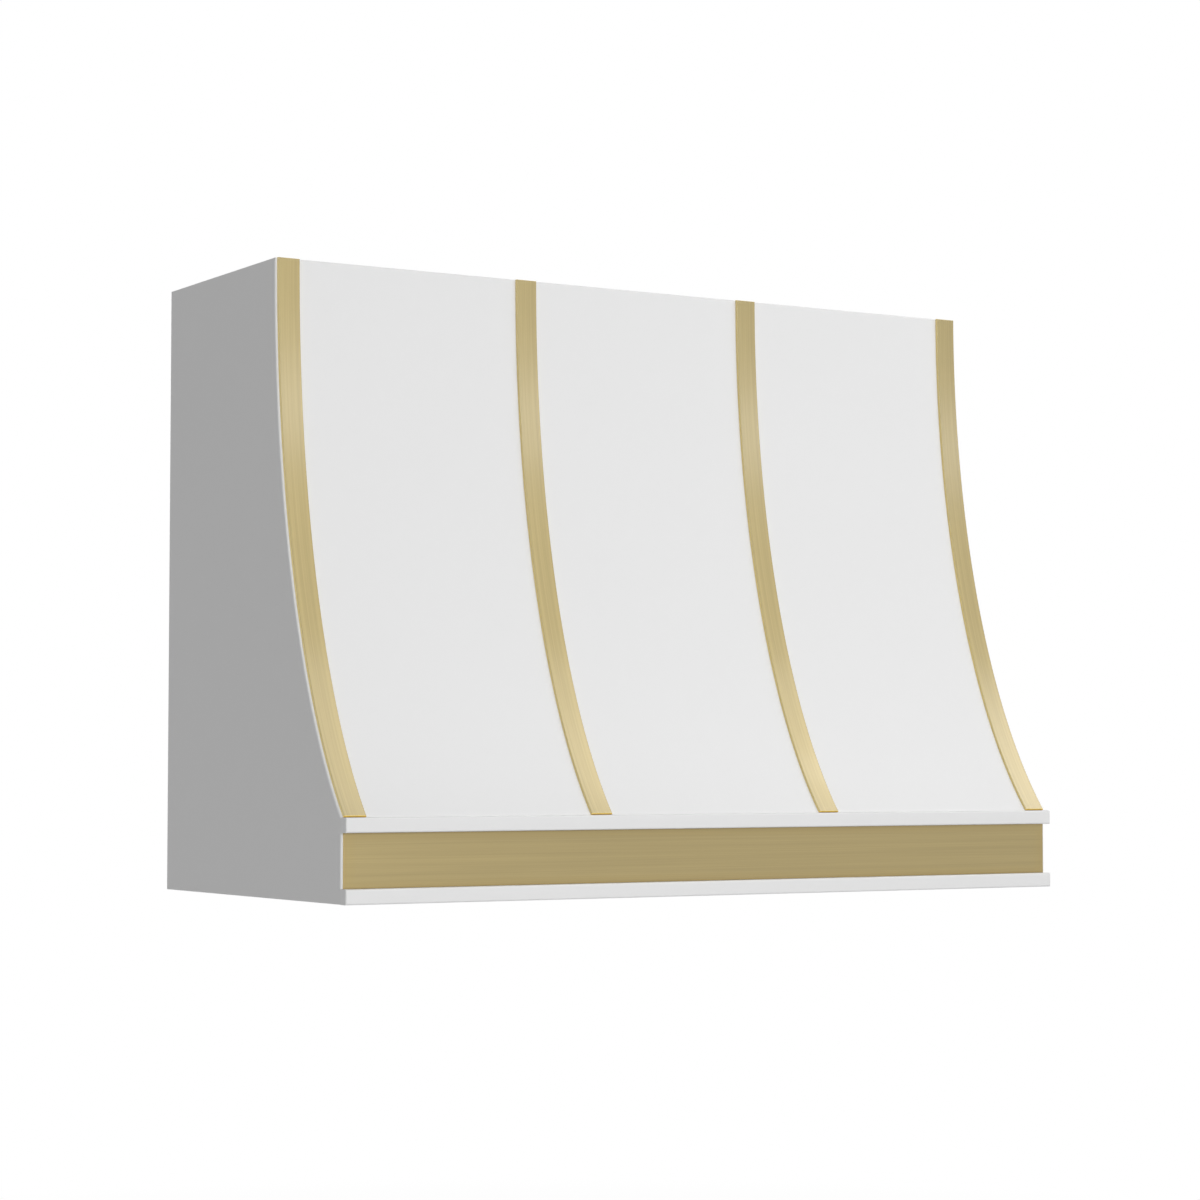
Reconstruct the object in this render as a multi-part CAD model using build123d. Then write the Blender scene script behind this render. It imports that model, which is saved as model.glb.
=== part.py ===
from build123d import *
from math import asin, cos, degrees, radians, sin, sqrt
import os

# Wall range hood, 48 inches wide: a painted wooden shell with brass straps over a metal insert that
# holds the filters, the lights, the controls and the blower.
# Lengths are millimetres. X runs to the right, Y towards the wall and Z up. The back of the hood lies
# in Y = 0 and its bottom rim in Z = 0, so every piece has a negative Y.

# Shell
width = 1219.2
height = 914.4
depth = 609.6
top_depth = 373.5
moulding_projection = 16.0
lower_moulding_height = 20.6
band_height = 77.2
upper_moulding_height = 21.0
curve_overrun = 126.4
board = 19.0
skin = 6.4
rebate_lap = 9.5
glue_line = 0.1
edge_radius = 3.0
rim_radius = 2.0
moulding_radius = 2.5

# Brass
strap_width = 34.2
strap_thickness = 4.0
trim_inset = 3.2
inner_strap_centre = 197.7
band_thickness = 1.4
brass_bevel = 0.6

# Hidden woodwork
rail_height = 89.0
rail_hole_spacing = 406.4
rail_hole_radius = 3.5
rib_depth = 38.0
shelf_bottom = 38.0
top_cleat_room = 21.0

# Metal insert
sheet = 1.2
plate_room = 2.6
box_room = 2.6
side_lap = 31.0
end_lap = 12.0
lamp_shelf_depth = 86.6
upstand_height = 12.0
plenum_height = 197.0
screw_radius = 2.0
screw_head_radius = 4.5
screw_head_height = 2.5
screw_length = 16.0
screw_room = 0.3
pilot_room = 0.05
side_screw_count = 3
side_screw_setback = 75.0
end_screw_half = 300.0

# Filters
filter_names = ("left", "centre", "right")
filter_gap = 3.0
filter_slope = 10.0
filter_thickness = 20.0
filter_lip = 16.0
hinge_setback = 60.4
hinge_rise = 20.0
swing_clearance = 1.8
bead_radius = 3.0
bead_web = 8.0
drain_half = 8.0
drain_height = 4.0
drain_places = (-120.0, -40.0, 40.0, 120.0)
baffle_width = 20.0
baffle_height = 11.0
baffle_sheet = 0.8
baffle_count = 11
baffle_room = 0.1
handle_half = 45.0
handle_drop = 26.0
handle_bend = 9.0
handle_wire = 2.5
rack_gap = 0.3
window_margin = 15.0
hook_room = 0.05
hook_thickness = 2.0
hook_half = 6.0
hook_offset = 120.0
hook_start = -110.0
hook_sweep = 190.0
magnet_radius = 6.0
magnet_height = 4.0
magnet_offset = 100.0

# Grease tray
tray_end_room = 21.0
tray_lip = 12.0
tray_room = 2.4
tray_height = 19.7
tray_drop = 3.1
tray_flange = 16.0
bracket_sheet = 1.5
bracket_inset = 8.0
bracket_width = 32.0
bracket_lap = 16.0
bracket_reach = 16.5

# Lights and controls
front_row_setback = 41.0
outer_light_setback = 113.0
inner_light_centre = 180.0
light_radius = 27.0
light_room = 0.3
light_height = 25.2
light_core_radius = 18.0
light_fin = 2.0
light_fin_count = 5
bezel_outer = 33.0
bezel_inner = 25.0
bezel_height = 2.0
lens_height = 1.5
lens_room = 0.1
control_half = 80.0
control_depth = 34.0
control_thickness = 1.5
control_corner = 4.0
button_names = ("off", "low", "medium", "high", "light")
button_pitch = 26.0
button_radius = 8.0
button_room = 0.2
button_stand = 3.5
button_flange = 1.5
button_flange_height = 1.6
button_stem = 2.5
button_stem_height = 8.2
button_edge = 0.8
stem_room = 0.1
switch_half = 84.0
switch_foot = 6.0
switch_foot_height = 6.0
switch_height = 16.0
switch_bore_depth = 12.0

# Blower
intake_room = 108.0
cabinet_room = 25.0
collar_room = 15.0
cabinet_flange = 12.0
cabinet_seat = 8.0
fan_from_wall = 260.0
fan_rise = 140.0
outlet_rise = 155.0
wheel_radius = 80.0
wheel_bore = 66.0
wheel_half = 60.0
wheel_disc = 2.0
blade_count = 40
blade_thickness = 0.8
blade_lean = 12.0
hub_radius = 12.0
hub_left = 14.0
hub_right = 6.0
scroll_half = 70.0
scroll_growth = 17.3
cutoff_gap = 6.25
inlet_radius = 62.0
inlet_room = 0.4
inlet_flange = 10.0
inlet_reach = 9.0
motor_radius = 40.0
motor_left = 8.0
motor_length = 80.0
shaft_radius = 4.0
shaft_room = 0.05
shaft_start = 16.0
shaft_depth = 24.0
clamp_thickness = 2.5
clamp_length = 14.0
clamp_room = 0.1
arm_end = 82.0
arm_half = 8.0
arm_thickness = 2.5
arm_angles = (90.0, 210.0, 330.0)

# Duct collar and damper
collar_radius = 101.0
collar_wall = 0.8
collar_height = 60.0
collar_flange = 11.0
duct_room = 14.0
damper_rise = 25.0
damper_pin_radius = 2.0
damper_room = 0.05
damper_sleeve = 1.0
damper_sheet = 0.8
damper_gap = 0.3
damper_edge_room = 1.7
damper_sleeve_count = 4
damper_sleeve_gap = 0.5
damper_sleeve_span = 88.0
stop_room = 0.2
stop_reach = 5.0
stop_half = 6.0
stop_height = 1.5

# Junction box
junction_gap = 130.0
junction_width = 100.0
junction_depth = 70.0
junction_rear = 230.0
junction_height = 45.0
junction_wall = 1.5
junction_cover_lip = 3.0
gland_rise = 23.0
gland_bore = 6.5
gland_barrel = 9.0
gland_collar = 12.0
gland_collar_length = 5.0
gland_length = 18.0
gland_nut_length = 4.0
gland_room = 0.2

# Places that follow from the sizes above
half_width = width / 2
inner_half = half_width - board
apron_depth = depth - moulding_projection
apron_inside = apron_depth - board
band_bottom = lower_moulding_height
band_top = band_bottom + band_height
apron_top = band_top + upper_moulding_height
curve_drop = height - apron_top
curve_height = curve_drop + curve_overrun
curve_depth = (apron_depth - top_depth) / (1 - sqrt(1 - (curve_drop / curve_height) ** 2))
curve_centre = -(top_depth + curve_depth)
top_underside = height - board
shelf_top = shelf_bottom + board
plate_bottom = shelf_bottom - sheet
plate_half = inner_half - board - plate_room
plate_front = apron_inside - board - plate_room
plate_rear = 2 * board + plate_room
cutout_half = plate_half - side_lap
cutout_front = plate_front - end_lap
cutout_rear = plate_rear + end_lap
box_half = cutout_half - box_room - sheet
box_front = cutout_front - lamp_shelf_depth - sheet
box_rear = cutout_rear + box_room + sheet
capture_half = box_half - sheet
capture_front = box_front - sheet
capture_rear = box_rear + sheet
plenum_top = shelf_bottom + plenum_height
hinge_from_wall = capture_rear + hinge_setback
hinge_height = shelf_bottom + hinge_rise
filter_pitch = 2 * capture_half / len(filter_names)
filter_half = (filter_pitch - filter_gap) / 2
baffle_pitch = (2 * (filter_half - filter_lip) - baffle_width) / (baffle_count - 1)
filter_bottom = -sheet / 2
filter_top = filter_bottom + filter_thickness
filter_reach = capture_front - hinge_from_wall - swing_clearance
filter_end = sqrt(filter_reach ** 2 - filter_top ** 2)
rack_bottom = filter_top + rack_gap
tray_half = capture_half - tray_end_room
tray_front = hinge_from_wall + tray_lip
tray_rear = capture_rear + tray_room
tray_top = plate_bottom - tray_drop
tray_bottom = tray_top - tray_height
bracket_rear = tray_rear + bracket_inset
bracket_front = bracket_rear + bracket_width
front_row = cutout_front - front_row_setback
outer_light_centre = capture_half - outer_light_setback
light_places = (-outer_light_centre, -inner_light_centre, inner_light_centre, outer_light_centre)
fan_height = plenum_top + fan_rise
motor_right = motor_left + motor_length
cabinet_top = fan_height + outlet_rise
cabinet_half = scroll_half + intake_room
scroll_start = wheel_radius + cutoff_gap + scroll_growth / 2
scroll_front = scroll_start + scroll_growth / 2
scroll_rear = scroll_front + 2 * scroll_growth
scroll_top = cabinet_top - sheet
duct_from_wall = fan_from_wall - (scroll_rear - scroll_growth / 2) / 2
collar_bore = collar_radius - collar_wall
cabinet_front = fan_from_wall + scroll_front + cabinet_room
cabinet_rear = duct_from_wall - collar_radius - collar_flange - collar_room
damper_height = cabinet_top + damper_rise
switch_bottom = shelf_bottom + switch_foot_height
junction_right = -cabinet_half - cabinet_flange - junction_gap
junction_left = junction_right - junction_width
junction_front = junction_rear + junction_depth


# Shapes that many pieces share


def block(left, right, front, rear, bottom, top):
    """Block from a left, front, bottom corner to a right, rear, top corner."""
    corner = (Align.MIN, Align.MIN, Align.MIN)
    return Pos(left, front, bottom) * Box(right - left, rear - front, top - bottom, align=corner)


def rod(radius, start, end):
    """Round rod between two points."""
    line = Vector(*end) - Vector(*start)
    base = (Align.CENTER, Align.CENTER, Align.MIN)
    return Plane(origin=start, z_dir=line) * Cylinder(radius, line.length, align=base)


def ring(outer, inner, start, end):
    """Round tube between two points."""
    return rod(outer, start, end) - rod(inner, start, end)


def prism(face, left, right):
    """Side view, drawn as Y and Z, drawn out along X."""
    return extrude(Plane.YZ.offset(left) * face, amount=right - left, dir=(1, 0, 0))


def group(pieces):
    """Several separate pieces as one shape."""
    return Compound(children=[solid for piece in pieces for solid in piece.solids()])


def mirrored(piece):
    """The same piece on the other side of the hood."""
    return mirror(piece, about=Plane.YZ)


# The concave front is part of an ellipse that stands upright where it meets the top


def curve_y(back, level):
    """Y of the front curve, moved back by a distance, at a height."""
    fall = (height - level) / (curve_height + back)
    return curve_centre + (curve_depth + back) * sqrt(1 - fall ** 2)


def curve_arc(back, bottom, top):
    """The front curve, moved back by a distance, between two heights."""
    low = degrees(asin((height - bottom) / (curve_height + back)))
    high = degrees(asin((height - top) / (curve_height + back)))
    centre = (curve_centre, height)
    radii = (curve_depth + back, curve_height + back)
    return EllipticalCenterArc(centre, *radii, start_angle=-low, arc_size=low - high)


def curve_band(front, back, bottom, top):
    """Side view of a bent board between two copies of the front curve."""
    lower = Line((curve_y(front, bottom), bottom), (curve_y(back, bottom), bottom))
    upper = Line((curve_y(front, top), top), (curve_y(back, top), top))
    return make_face([curve_arc(front, bottom, top), curve_arc(back, bottom, top), lower, upper])


def curve_to_wall(back, bottom, top):
    """Side view of a board from the front curve to the wall."""
    lower = (curve_y(back, bottom), bottom)
    upper = (curve_y(back, top), top)
    outline = Polyline(upper, (0, top), (0, bottom), lower)
    return make_face([curve_arc(back, bottom, top), outline])


# Painted shell


def make_side_panel():
    """Right side board, rounded along its outer edges and rebated inside for the front board."""
    step = half_width - rebate_lap
    outer = prism(curve_to_wall(0, apron_top, height), step, half_width)
    curved = outer.edges().filter_by(GeomType.ELLIPSE).sort_by(Axis.X)[-1]
    outer = fillet(curved, edge_radius)
    rim = outer.edges().filter_by(Axis.Y).group_by(Axis.Z)[-1].sort_by(Axis.X)[-1]
    outer = fillet(rim, rim_radius)
    inner = prism(curve_to_wall(skin, apron_top, height), inner_half, step)
    lower = block(inner_half, half_width, -apron_depth, 0, 0, apron_top)
    rim = lower.edges().filter_by(Axis.Y).group_by(Axis.Z)[0].sort_by(Axis.X)[-1]
    lower = fillet(rim, rim_radius)
    centre = (half_width - edge_radius, edge_radius - apron_depth)
    corner = block(centre[0], half_width, -apron_depth, centre[1], band_bottom, band_top)
    corner -= rod(edge_radius, (*centre, band_bottom), (*centre, band_top))
    return outer + inner + lower - corner


def make_front_panel():
    """Bent front board between the rebates of the two sides."""
    half = half_width - rebate_lap
    panel = prism(curve_band(0, skin, apron_top, height), -half, half)
    rim = panel.edges().filter_by(Axis.X).group_by(Axis.Z)[-1].sort_by(Axis.Y)[0]
    return fillet(rim, rim_radius)


def make_moulding(bottom, top):
    """Moulding across the apron with its face rounded on all four edges."""
    moulding = block(-half_width, half_width, -depth, -apron_depth, bottom, top)
    return fillet(moulding.faces().sort_by(Axis.Y)[0].edges(), moulding_radius)


def make_top_panel():
    """Top board with the hole for the duct."""
    face = curve_to_wall(skin + glue_line, top_underside, height)
    duct = (0, -duct_from_wall)
    hole = rod(collar_radius + duct_room, (*duct, top_underside), (*duct, height))
    return prism(face, -inner_half, inner_half) - hole


def make_rail(bottom):
    """Hanging rail with its row of screw holes."""
    rail = block(-inner_half, inner_half, -board, 0, bottom, bottom + rail_height)
    middle = bottom + rail_height / 2
    for place in (-rail_hole_spacing, 0, rail_hole_spacing):
        rail -= rod(rail_hole_radius, (place, -board, middle), (place, 0, middle))
    return rail


def make_rib():
    """Right rib behind the bent front, with a foot behind the apron that stands on the shelf."""
    left = inner_strap_centre - board / 2
    right = inner_strap_centre + board / 2
    front = skin + glue_line
    curved = prism(curve_band(front, front + rib_depth, apron_top, top_underside), left, right)
    return curved + block(left, right, -apron_inside, rib_depth - apron_inside, shelf_top, apron_top)


def make_shelf():
    """Board frame that carries the insert, with pilot holes for its screws."""
    shelf = block(-inner_half, inner_half, -apron_inside, -board, shelf_bottom, shelf_top)
    shelf -= block(-cutout_half, cutout_half, -cutout_front, -cutout_rear, shelf_bottom, shelf_top)
    tip = plate_bottom + screw_length
    for x, y in screw_places():
        shelf -= rod(screw_radius + pilot_room, (x, y, shelf_bottom), (x, y, tip))
    return shelf


def make_shelf_cleats():
    """Four square strips under the shelf."""
    bottom = shelf_bottom - board
    side = block(inner_half - board, inner_half, -apron_inside, -board, bottom, shelf_bottom)
    half = inner_half - board
    front = block(-half, half, -apron_inside, board - apron_inside, bottom, shelf_bottom)
    rear = block(-half, half, -2 * board, -board, bottom, shelf_bottom)
    return group([side, mirrored(side), front, rear])


def make_top_cleats():
    """Two square strips in the corners under the top board."""
    bottom = top_underside - board
    front = -top_depth + skin + board + top_cleat_room
    right = block(inner_half - board, inner_half, front, -board - top_cleat_room, bottom, top_underside)
    return group([right, mirrored(right)])


# Brass trim


def make_strap(centre):
    """Flat strap that follows the front curve, with bevelled edges."""
    left = centre - strap_width / 2
    right = centre + strap_width / 2
    face = curve_band(-strap_thickness, -glue_line, apron_top, height)
    strap = prism(face, left, right)
    front = strap.edges().filter_by(GeomType.ELLIPSE).sort_by(Axis.Y)[:2]
    rim = strap.edges().filter_by(Axis.X).group_by(Axis.Z)[-1].sort_by(Axis.Y)[0]
    return chamfer([*front, rim], brass_bevel)


def make_brass_band():
    """Flat band across the apron with its face bevelled on all four edges."""
    half = half_width - trim_inset
    band = block(-half, half, -apron_depth - band_thickness, -apron_depth, band_bottom, band_top)
    return chamfer(band.faces().sort_by(Axis.Y)[0].edges(), brass_bevel)


# Metal insert


def screw_places():
    """X and Y of each screw that holds the plate up to the shelf."""
    side = cutout_half + side_lap / 2
    first = plate_rear + side_screw_setback
    pitch = (plate_front - side_screw_setback - first) / (side_screw_count - 1)
    rows = [first + index * pitch for index in range(side_screw_count)]
    places = [(sign * side, -row) for sign in (-1, 1) for row in rows]
    for row in (cutout_front + end_lap / 2, cutout_rear - end_lap / 2):
        places += [(-end_screw_half, -row), (end_screw_half, -row)]
    return places


def button_places():
    """X of each button, by name."""
    middle = (len(button_names) - 1) / 2
    return {name: (index - middle) * button_pitch for index, name in enumerate(button_names)}


def filter_places():
    """X of the middle of each filter, by name."""
    middle = (len(filter_names) - 1) / 2
    return {name: (index - middle) * filter_pitch for index, name in enumerate(filter_names)}


def button_holes(bottom, top):
    """Cuts for the buttons through a sheet."""
    radius = button_radius + button_room
    return [rod(radius, (x, -front_row, bottom), (x, -front_row, top)) for x in button_places().values()]


def make_insert_plate():
    """Bottom sheet with the capture opening, an upstand round it and holes for what it carries."""
    plate = block(-plate_half, plate_half, -plate_front, -plate_rear, plate_bottom, shelf_bottom)
    top = shelf_bottom + upstand_height
    edge = box_half + sheet
    plate += block(-edge, edge, -box_front - sheet, sheet - box_rear, shelf_bottom, top)
    plate -= block(-box_half, box_half, -box_front, -box_rear, shelf_bottom, top)
    plate -= block(-capture_half, capture_half, -capture_front, -capture_rear, plate_bottom, shelf_bottom)
    for x in light_places:
        low = (x, -front_row, plate_bottom)
        plate -= rod(light_radius + light_room, low, (x, -front_row, shelf_bottom))
    for x, y in screw_places():
        plate -= rod(screw_radius + screw_room, (x, y, plate_bottom), (x, y, shelf_bottom))
    for hole in button_holes(plate_bottom, shelf_bottom):
        plate -= hole
    return plate


def make_insert_screws():
    """Pan head screws from below through the plate into the shelf."""
    screws = []
    for x, y in screw_places():
        head = rod(screw_head_radius, (x, y, plate_bottom - screw_head_height), (x, y, plate_bottom))
        head = fillet(head.edges().group_by(Axis.Z)[0], screw_head_height / 2)
        screws.append(head + rod(screw_radius, (x, y, plate_bottom), (x, y, plate_bottom + screw_length)))
    return group(screws)


def plenum_inside():
    """The space inside the plenum box."""
    top = plenum_top - sheet
    return block(-capture_half, capture_half, -capture_front, -capture_rear, shelf_bottom, top)


def make_plenum_box():
    """Sheet box over the filters, open below and under the blower."""
    box = block(-box_half, box_half, -box_front, -box_rear, shelf_bottom, plenum_top)
    seat = cabinet_half - cabinet_seat
    front = cabinet_seat - cabinet_front
    rear = -cabinet_rear - cabinet_seat
    return box - plenum_inside() - block(-seat, seat, front, rear, plenum_top - sheet, plenum_top)


# Filters, drawn flat and then laid on a plane that slopes down to the hinge at the wall side


def filter_plane(x=0):
    """Plane with its origin on the hinge line, its Y down towards the wall and its Z square to it."""
    slope = radians(filter_slope)
    origin = (x, -hinge_from_wall, hinge_height)
    return Plane(origin=origin, x_dir=(1, 0, 0), z_dir=(0, sin(slope), cos(slope)))


def slab(left, right, near, far, bottom, top):
    """Flat block from a near distance to a far distance ahead of the hinge line."""
    return block(left, right, -far, -near, bottom, top)


def make_filter_rack():
    """Sloping sheet with three windows, which the filters close against from below."""
    top = rack_bottom + sheet
    rack = slab(-capture_half, capture_half, -capture_front, capture_front, rack_bottom, top)
    near = bead_web + window_margin
    far = filter_end - window_margin
    half = filter_half - window_margin
    for x in filter_places().values():
        rack -= slab(x - half, x + half, near, far, rack_bottom, top)
    return (filter_plane() * rack) & plenum_inside()


def make_filter_hooks():
    """Hooks under the rack, open to the front, that hold the beads of the filters."""
    inner = bead_radius + hook_room
    outer = inner + hook_thickness
    arcs = [CenterArc((0, 0), radius, hook_start, hook_sweep) for radius in (inner, outer)]
    ends = [Line(arcs[0] @ end, arcs[1] @ end) for end in (0, 1)]
    curl = make_face([*arcs, *ends])
    hooks = []
    for middle in filter_places().values():
        for x in (middle - hook_offset, middle + hook_offset):
            seat = Pos(0, -hinge_from_wall, hinge_height) * prism(curl, x - hook_half, x + hook_half)
            stem = slab(x - hook_half, x + hook_half, -outer, -inner, 0, rack_bottom)
            hooks.append(seat + filter_plane() * stem)
    return group(hooks)


def make_filter_magnets():
    """Disc magnets on top of the rack, over the front lips of the filters."""
    magnets = []
    low = rack_bottom + sheet
    y = filter_lip / 2 - filter_end
    for middle in filter_places().values():
        for x in (middle - magnet_offset, middle + magnet_offset):
            disc = rod(magnet_radius, (x, y, low), (x, y, low + magnet_height))
            magnets.append(filter_plane() * disc)
    return group(magnets)


def make_filter_frame(x):
    """Folded frame of a filter with a rolled bead to hang by and drain slots above it."""
    half = filter_half
    frame = slab(-half, half, bead_web, filter_end, filter_bottom, filter_top)
    lip = half - filter_lip
    frame -= slab(-lip, lip, bead_web + filter_lip, filter_end - filter_lip, filter_bottom, filter_top)
    hollow = half - sheet
    low = filter_bottom + sheet
    frame -= slab(-hollow, hollow, bead_web + sheet, filter_end - sheet, low, filter_top - sheet)
    frame += slab(-half, half, 0, bead_web, filter_bottom, low)
    frame += rod(bead_radius, (-half, 0, 0), (half, 0, 0))
    for place in drain_places:
        left = place - drain_half
        frame -= slab(left, place + drain_half, bead_web, bead_web + sheet, low, low + drain_height)
    return filter_plane(x) * frame


def make_filter_baffles(x):
    """Two rows of channels that face each other and interleave."""
    near = bead_web + sheet + baffle_room
    far = filter_end - sheet - baffle_room
    low = filter_bottom + sheet
    high = filter_top - sheet
    channels = []
    for index in range(2 * baffle_count - 1):
        place = (index - baffle_count + 1) * baffle_pitch / 2
        faces_up = index % 2 == 0
        bottom = low if faces_up else high - baffle_height
        left = place - baffle_width / 2
        right = place + baffle_width / 2
        channel = slab(left, right, near, far, bottom, bottom + baffle_height)
        floor = bottom + baffle_sheet if faces_up else bottom
        roof = floor + baffle_height - baffle_sheet
        channels.append(channel - slab(left + baffle_sheet, right - baffle_sheet, near, far, floor, roof))
    return group([filter_plane(x) * channel for channel in channels])


def make_filter_handle(x):
    """Wire pull under the front lip of a filter."""
    y = filter_lip / 2 - filter_end
    low = filter_bottom - handle_drop
    corners = [(-handle_half, y, filter_bottom), (-handle_half, y, low)]
    corners += [(handle_half, y, low), (handle_half, y, filter_bottom)]
    path = FilletPolyline(*corners, radius=handle_bend)
    end = Plane(origin=path @ 0, z_dir=path % 0) * Circle(handle_wire)
    return filter_plane(x) * sweep(end, path=path)


# Grease tray


def make_grease_tray():
    """Trough under the low ends of the filters, hung by a flange at each end."""
    tray = block(-tray_half, tray_half, -tray_front, -tray_rear, tray_bottom, tray_top)
    half = tray_half - sheet
    tray -= block(-half, half, sheet - tray_front, -tray_rear - sheet, tray_bottom + sheet, tray_top)
    end = tray_half + tray_flange
    flange = block(tray_half, end, -tray_front, -tray_rear, tray_top - sheet, tray_top)
    return tray + flange + mirrored(flange)


def make_tray_brackets():
    """Bracket at each end, screwed up to the plate beside the opening, that the tray lies on."""
    floor = tray_top - sheet
    leg = capture_half + bracket_sheet
    high = plate_bottom - bracket_sheet
    outer = leg + bracket_sheet + bracket_lap
    bracket = block(leg, outer, -bracket_front, -bracket_rear, high, plate_bottom)
    bottom = floor - bracket_sheet
    bracket += block(leg, leg + bracket_sheet, -bracket_front, -bracket_rear, bottom, plate_bottom)
    bracket += block(leg - bracket_reach, leg, -bracket_front, -bracket_rear, bottom, floor)
    return group([bracket, mirrored(bracket)])


# Lights and controls


def make_light_bodies():
    """Finned bodies that stand on the bezels and reach up through the plate."""
    bodies = []
    top = plate_bottom + light_height
    pitch = (light_height - light_fin) / (light_fin_count - 1)
    for x in light_places:
        body = rod(light_core_radius, (x, -front_row, plate_bottom), (x, -front_row, top))
        for index in range(light_fin_count):
            low = plate_bottom + index * pitch
            body += rod(light_radius, (x, -front_row, low), (x, -front_row, low + light_fin))
        bodies.append(body)
    return group(bodies)


def make_light_bezels():
    """Rings under the plate."""
    bezels = []
    for x in light_places:
        low = (x, -front_row, plate_bottom - bezel_height)
        bezel = ring(bezel_outer, bezel_inner, low, (x, -front_row, plate_bottom))
        edge = bezel.edges().filter_by(GeomType.CIRCLE).group_by(Axis.Z)[0].sort_by(SortBy.RADIUS)[-1]
        bezels.append(fillet(edge, bezel_height / 2))
    return group(bezels)


def make_light_lenses():
    """Flat lenses inside the bezels."""
    low = plate_bottom - lens_height
    radius = bezel_inner - lens_room
    return group([rod(radius, (x, -front_row, low), (x, -front_row, plate_bottom)) for x in light_places])


def make_control_plate():
    """Trim plate round the buttons."""
    low = plate_bottom - control_thickness
    front = -front_row - control_depth / 2
    plate = block(-control_half, control_half, front, front + control_depth, low, plate_bottom)
    plate = fillet(plate.edges().filter_by(Axis.Z), control_corner)
    for hole in button_holes(low, plate_bottom):
        plate -= hole
    return plate


def make_button(x):
    """Push button with a flange over the plate and a stem up into the switch box."""
    low = plate_bottom - control_thickness - button_stand
    seat = shelf_bottom + button_room
    top = seat + button_flange_height
    cap = rod(button_radius, (x, -front_row, low), (x, -front_row, seat))
    cap = fillet(cap.edges().group_by(Axis.Z)[0], button_edge)
    cap += rod(button_radius + button_flange, (x, -front_row, seat), (x, -front_row, top))
    return cap + rod(button_stem, (x, -front_row, top), (x, -front_row, top + button_stem_height))


def make_switch_box():
    """Box over the buttons with a bore for each stem, on a foot at each end."""
    front = -front_row - control_depth / 2
    rear = front + control_depth
    top = switch_bottom + switch_height
    box = block(-switch_half, switch_half, front, rear, switch_bottom, top)
    foot = block(switch_half - switch_foot, switch_half, front, rear, shelf_bottom, switch_bottom)
    box = box + foot + mirrored(foot)
    end = switch_bottom + switch_bore_depth
    for x in button_places().values():
        box -= rod(button_stem + stem_room, (x, -front_row, switch_bottom), (x, -front_row, end))
    return box


# Blower


def make_blower_cabinet():
    """Sheet cabinet on the plenum, open below, with an outward flange and a hole under the collar."""
    flange = block(-cabinet_half - cabinet_flange, cabinet_half + cabinet_flange,
                   -cabinet_front - cabinet_flange, cabinet_flange - cabinet_rear,
                   plenum_top, plenum_top + sheet)
    cabinet = flange + block(-cabinet_half, cabinet_half, -cabinet_front, -cabinet_rear,
                             plenum_top, cabinet_top)
    half = cabinet_half - sheet
    cabinet -= block(-half, half, sheet - cabinet_front, -cabinet_rear - sheet,
                     plenum_top, cabinet_top - sheet)
    duct = (0, -duct_from_wall)
    return cabinet - rod(collar_bore, (*duct, cabinet_top - sheet), (*duct, cabinet_top))


def scroll_face(wall):
    """Side view of the scroll round the wheel, grown outward by a wall, with its outlet upward.

    Each quarter turn is an arc whose radius is one growth step larger than the last, and the centres
    of the arcs lie on the corners of a square of that step, so that the arcs run on smoothly.
    """
    half = scroll_growth / 2
    small = scroll_start + wall
    lean = degrees(asin(wall / small))
    first = CenterArc((-half, -half), small, 90 + lean, 90 - lean)
    second = CenterArc((half, -half), small + scroll_growth, 180, 90)
    third = CenterArc((half, half), small + 2 * scroll_growth, 270, 90)
    top = scroll_top - fan_height
    outlet = Polyline(third @ 1, ((third @ 1).X, top), (-half - wall, top), first @ 0)
    return Pos(-fan_from_wall, fan_height) * make_face([first, second, third, outlet])


def make_blower_housing():
    """Scroll housing of two side plates and a wrapper, with a round inlet in each side."""
    outer = scroll_half + sheet
    housing = prism(scroll_face(sheet), -outer, outer)
    housing -= prism(scroll_face(0), -scroll_half, scroll_half)
    axis = (-fan_from_wall, fan_height)
    return housing - rod(inlet_radius, (-outer, *axis), (outer, *axis))


def make_inlet_rings():
    """Ring inside each side plate that leads the air into the wheel."""
    axis = (-fan_from_wall, fan_height)
    outer = inlet_radius - inlet_room
    inner = outer - sheet
    flange = ring(inlet_radius + inlet_flange, inner, (scroll_half - sheet, *axis), (scroll_half, *axis))
    lip = ring(outer, inner, (scroll_half - inlet_reach, *axis), (scroll_half, *axis))
    right = flange + lip
    return group([right, mirrored(right)])


def make_impeller():
    """Wheel with forward curved blades between two rims and a disc, and a hub on its right side."""
    blade_radius = wheel_radius - wheel_bore
    lean = radians(blade_lean)
    foot = ((wheel_bore + blade_thickness) * cos(lean), (wheel_bore + blade_thickness) * sin(lean))
    tip = wheel_radius - blade_thickness
    line = RadiusArc(foot, (tip, 0), blade_radius)
    profile = make_face([line, *blade_sides(line)])
    blade = prism(profile, -wheel_half, wheel_half)
    wheel = ring(wheel_radius, wheel_bore, (-wheel_half, 0, 0), (blade_thickness - wheel_half, 0, 0))
    wheel += ring(wheel_radius, wheel_bore, (wheel_half - blade_thickness, 0, 0), (wheel_half, 0, 0))
    wheel += rod(wheel_radius, (-wheel_disc / 2, 0, 0), (wheel_disc / 2, 0, 0))
    wheel += rod(hub_radius, (-hub_left, 0, 0), (hub_right, 0, 0))
    blades = [Rot(360 * index / blade_count, 0, 0) * blade for index in range(blade_count)]
    wheel += blades
    wheel -= rod(shaft_radius + shaft_room, (-hub_left, 0, 0), (hub_right, 0, 0))
    return Pos(0, -fan_from_wall, fan_height) * wheel


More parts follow.
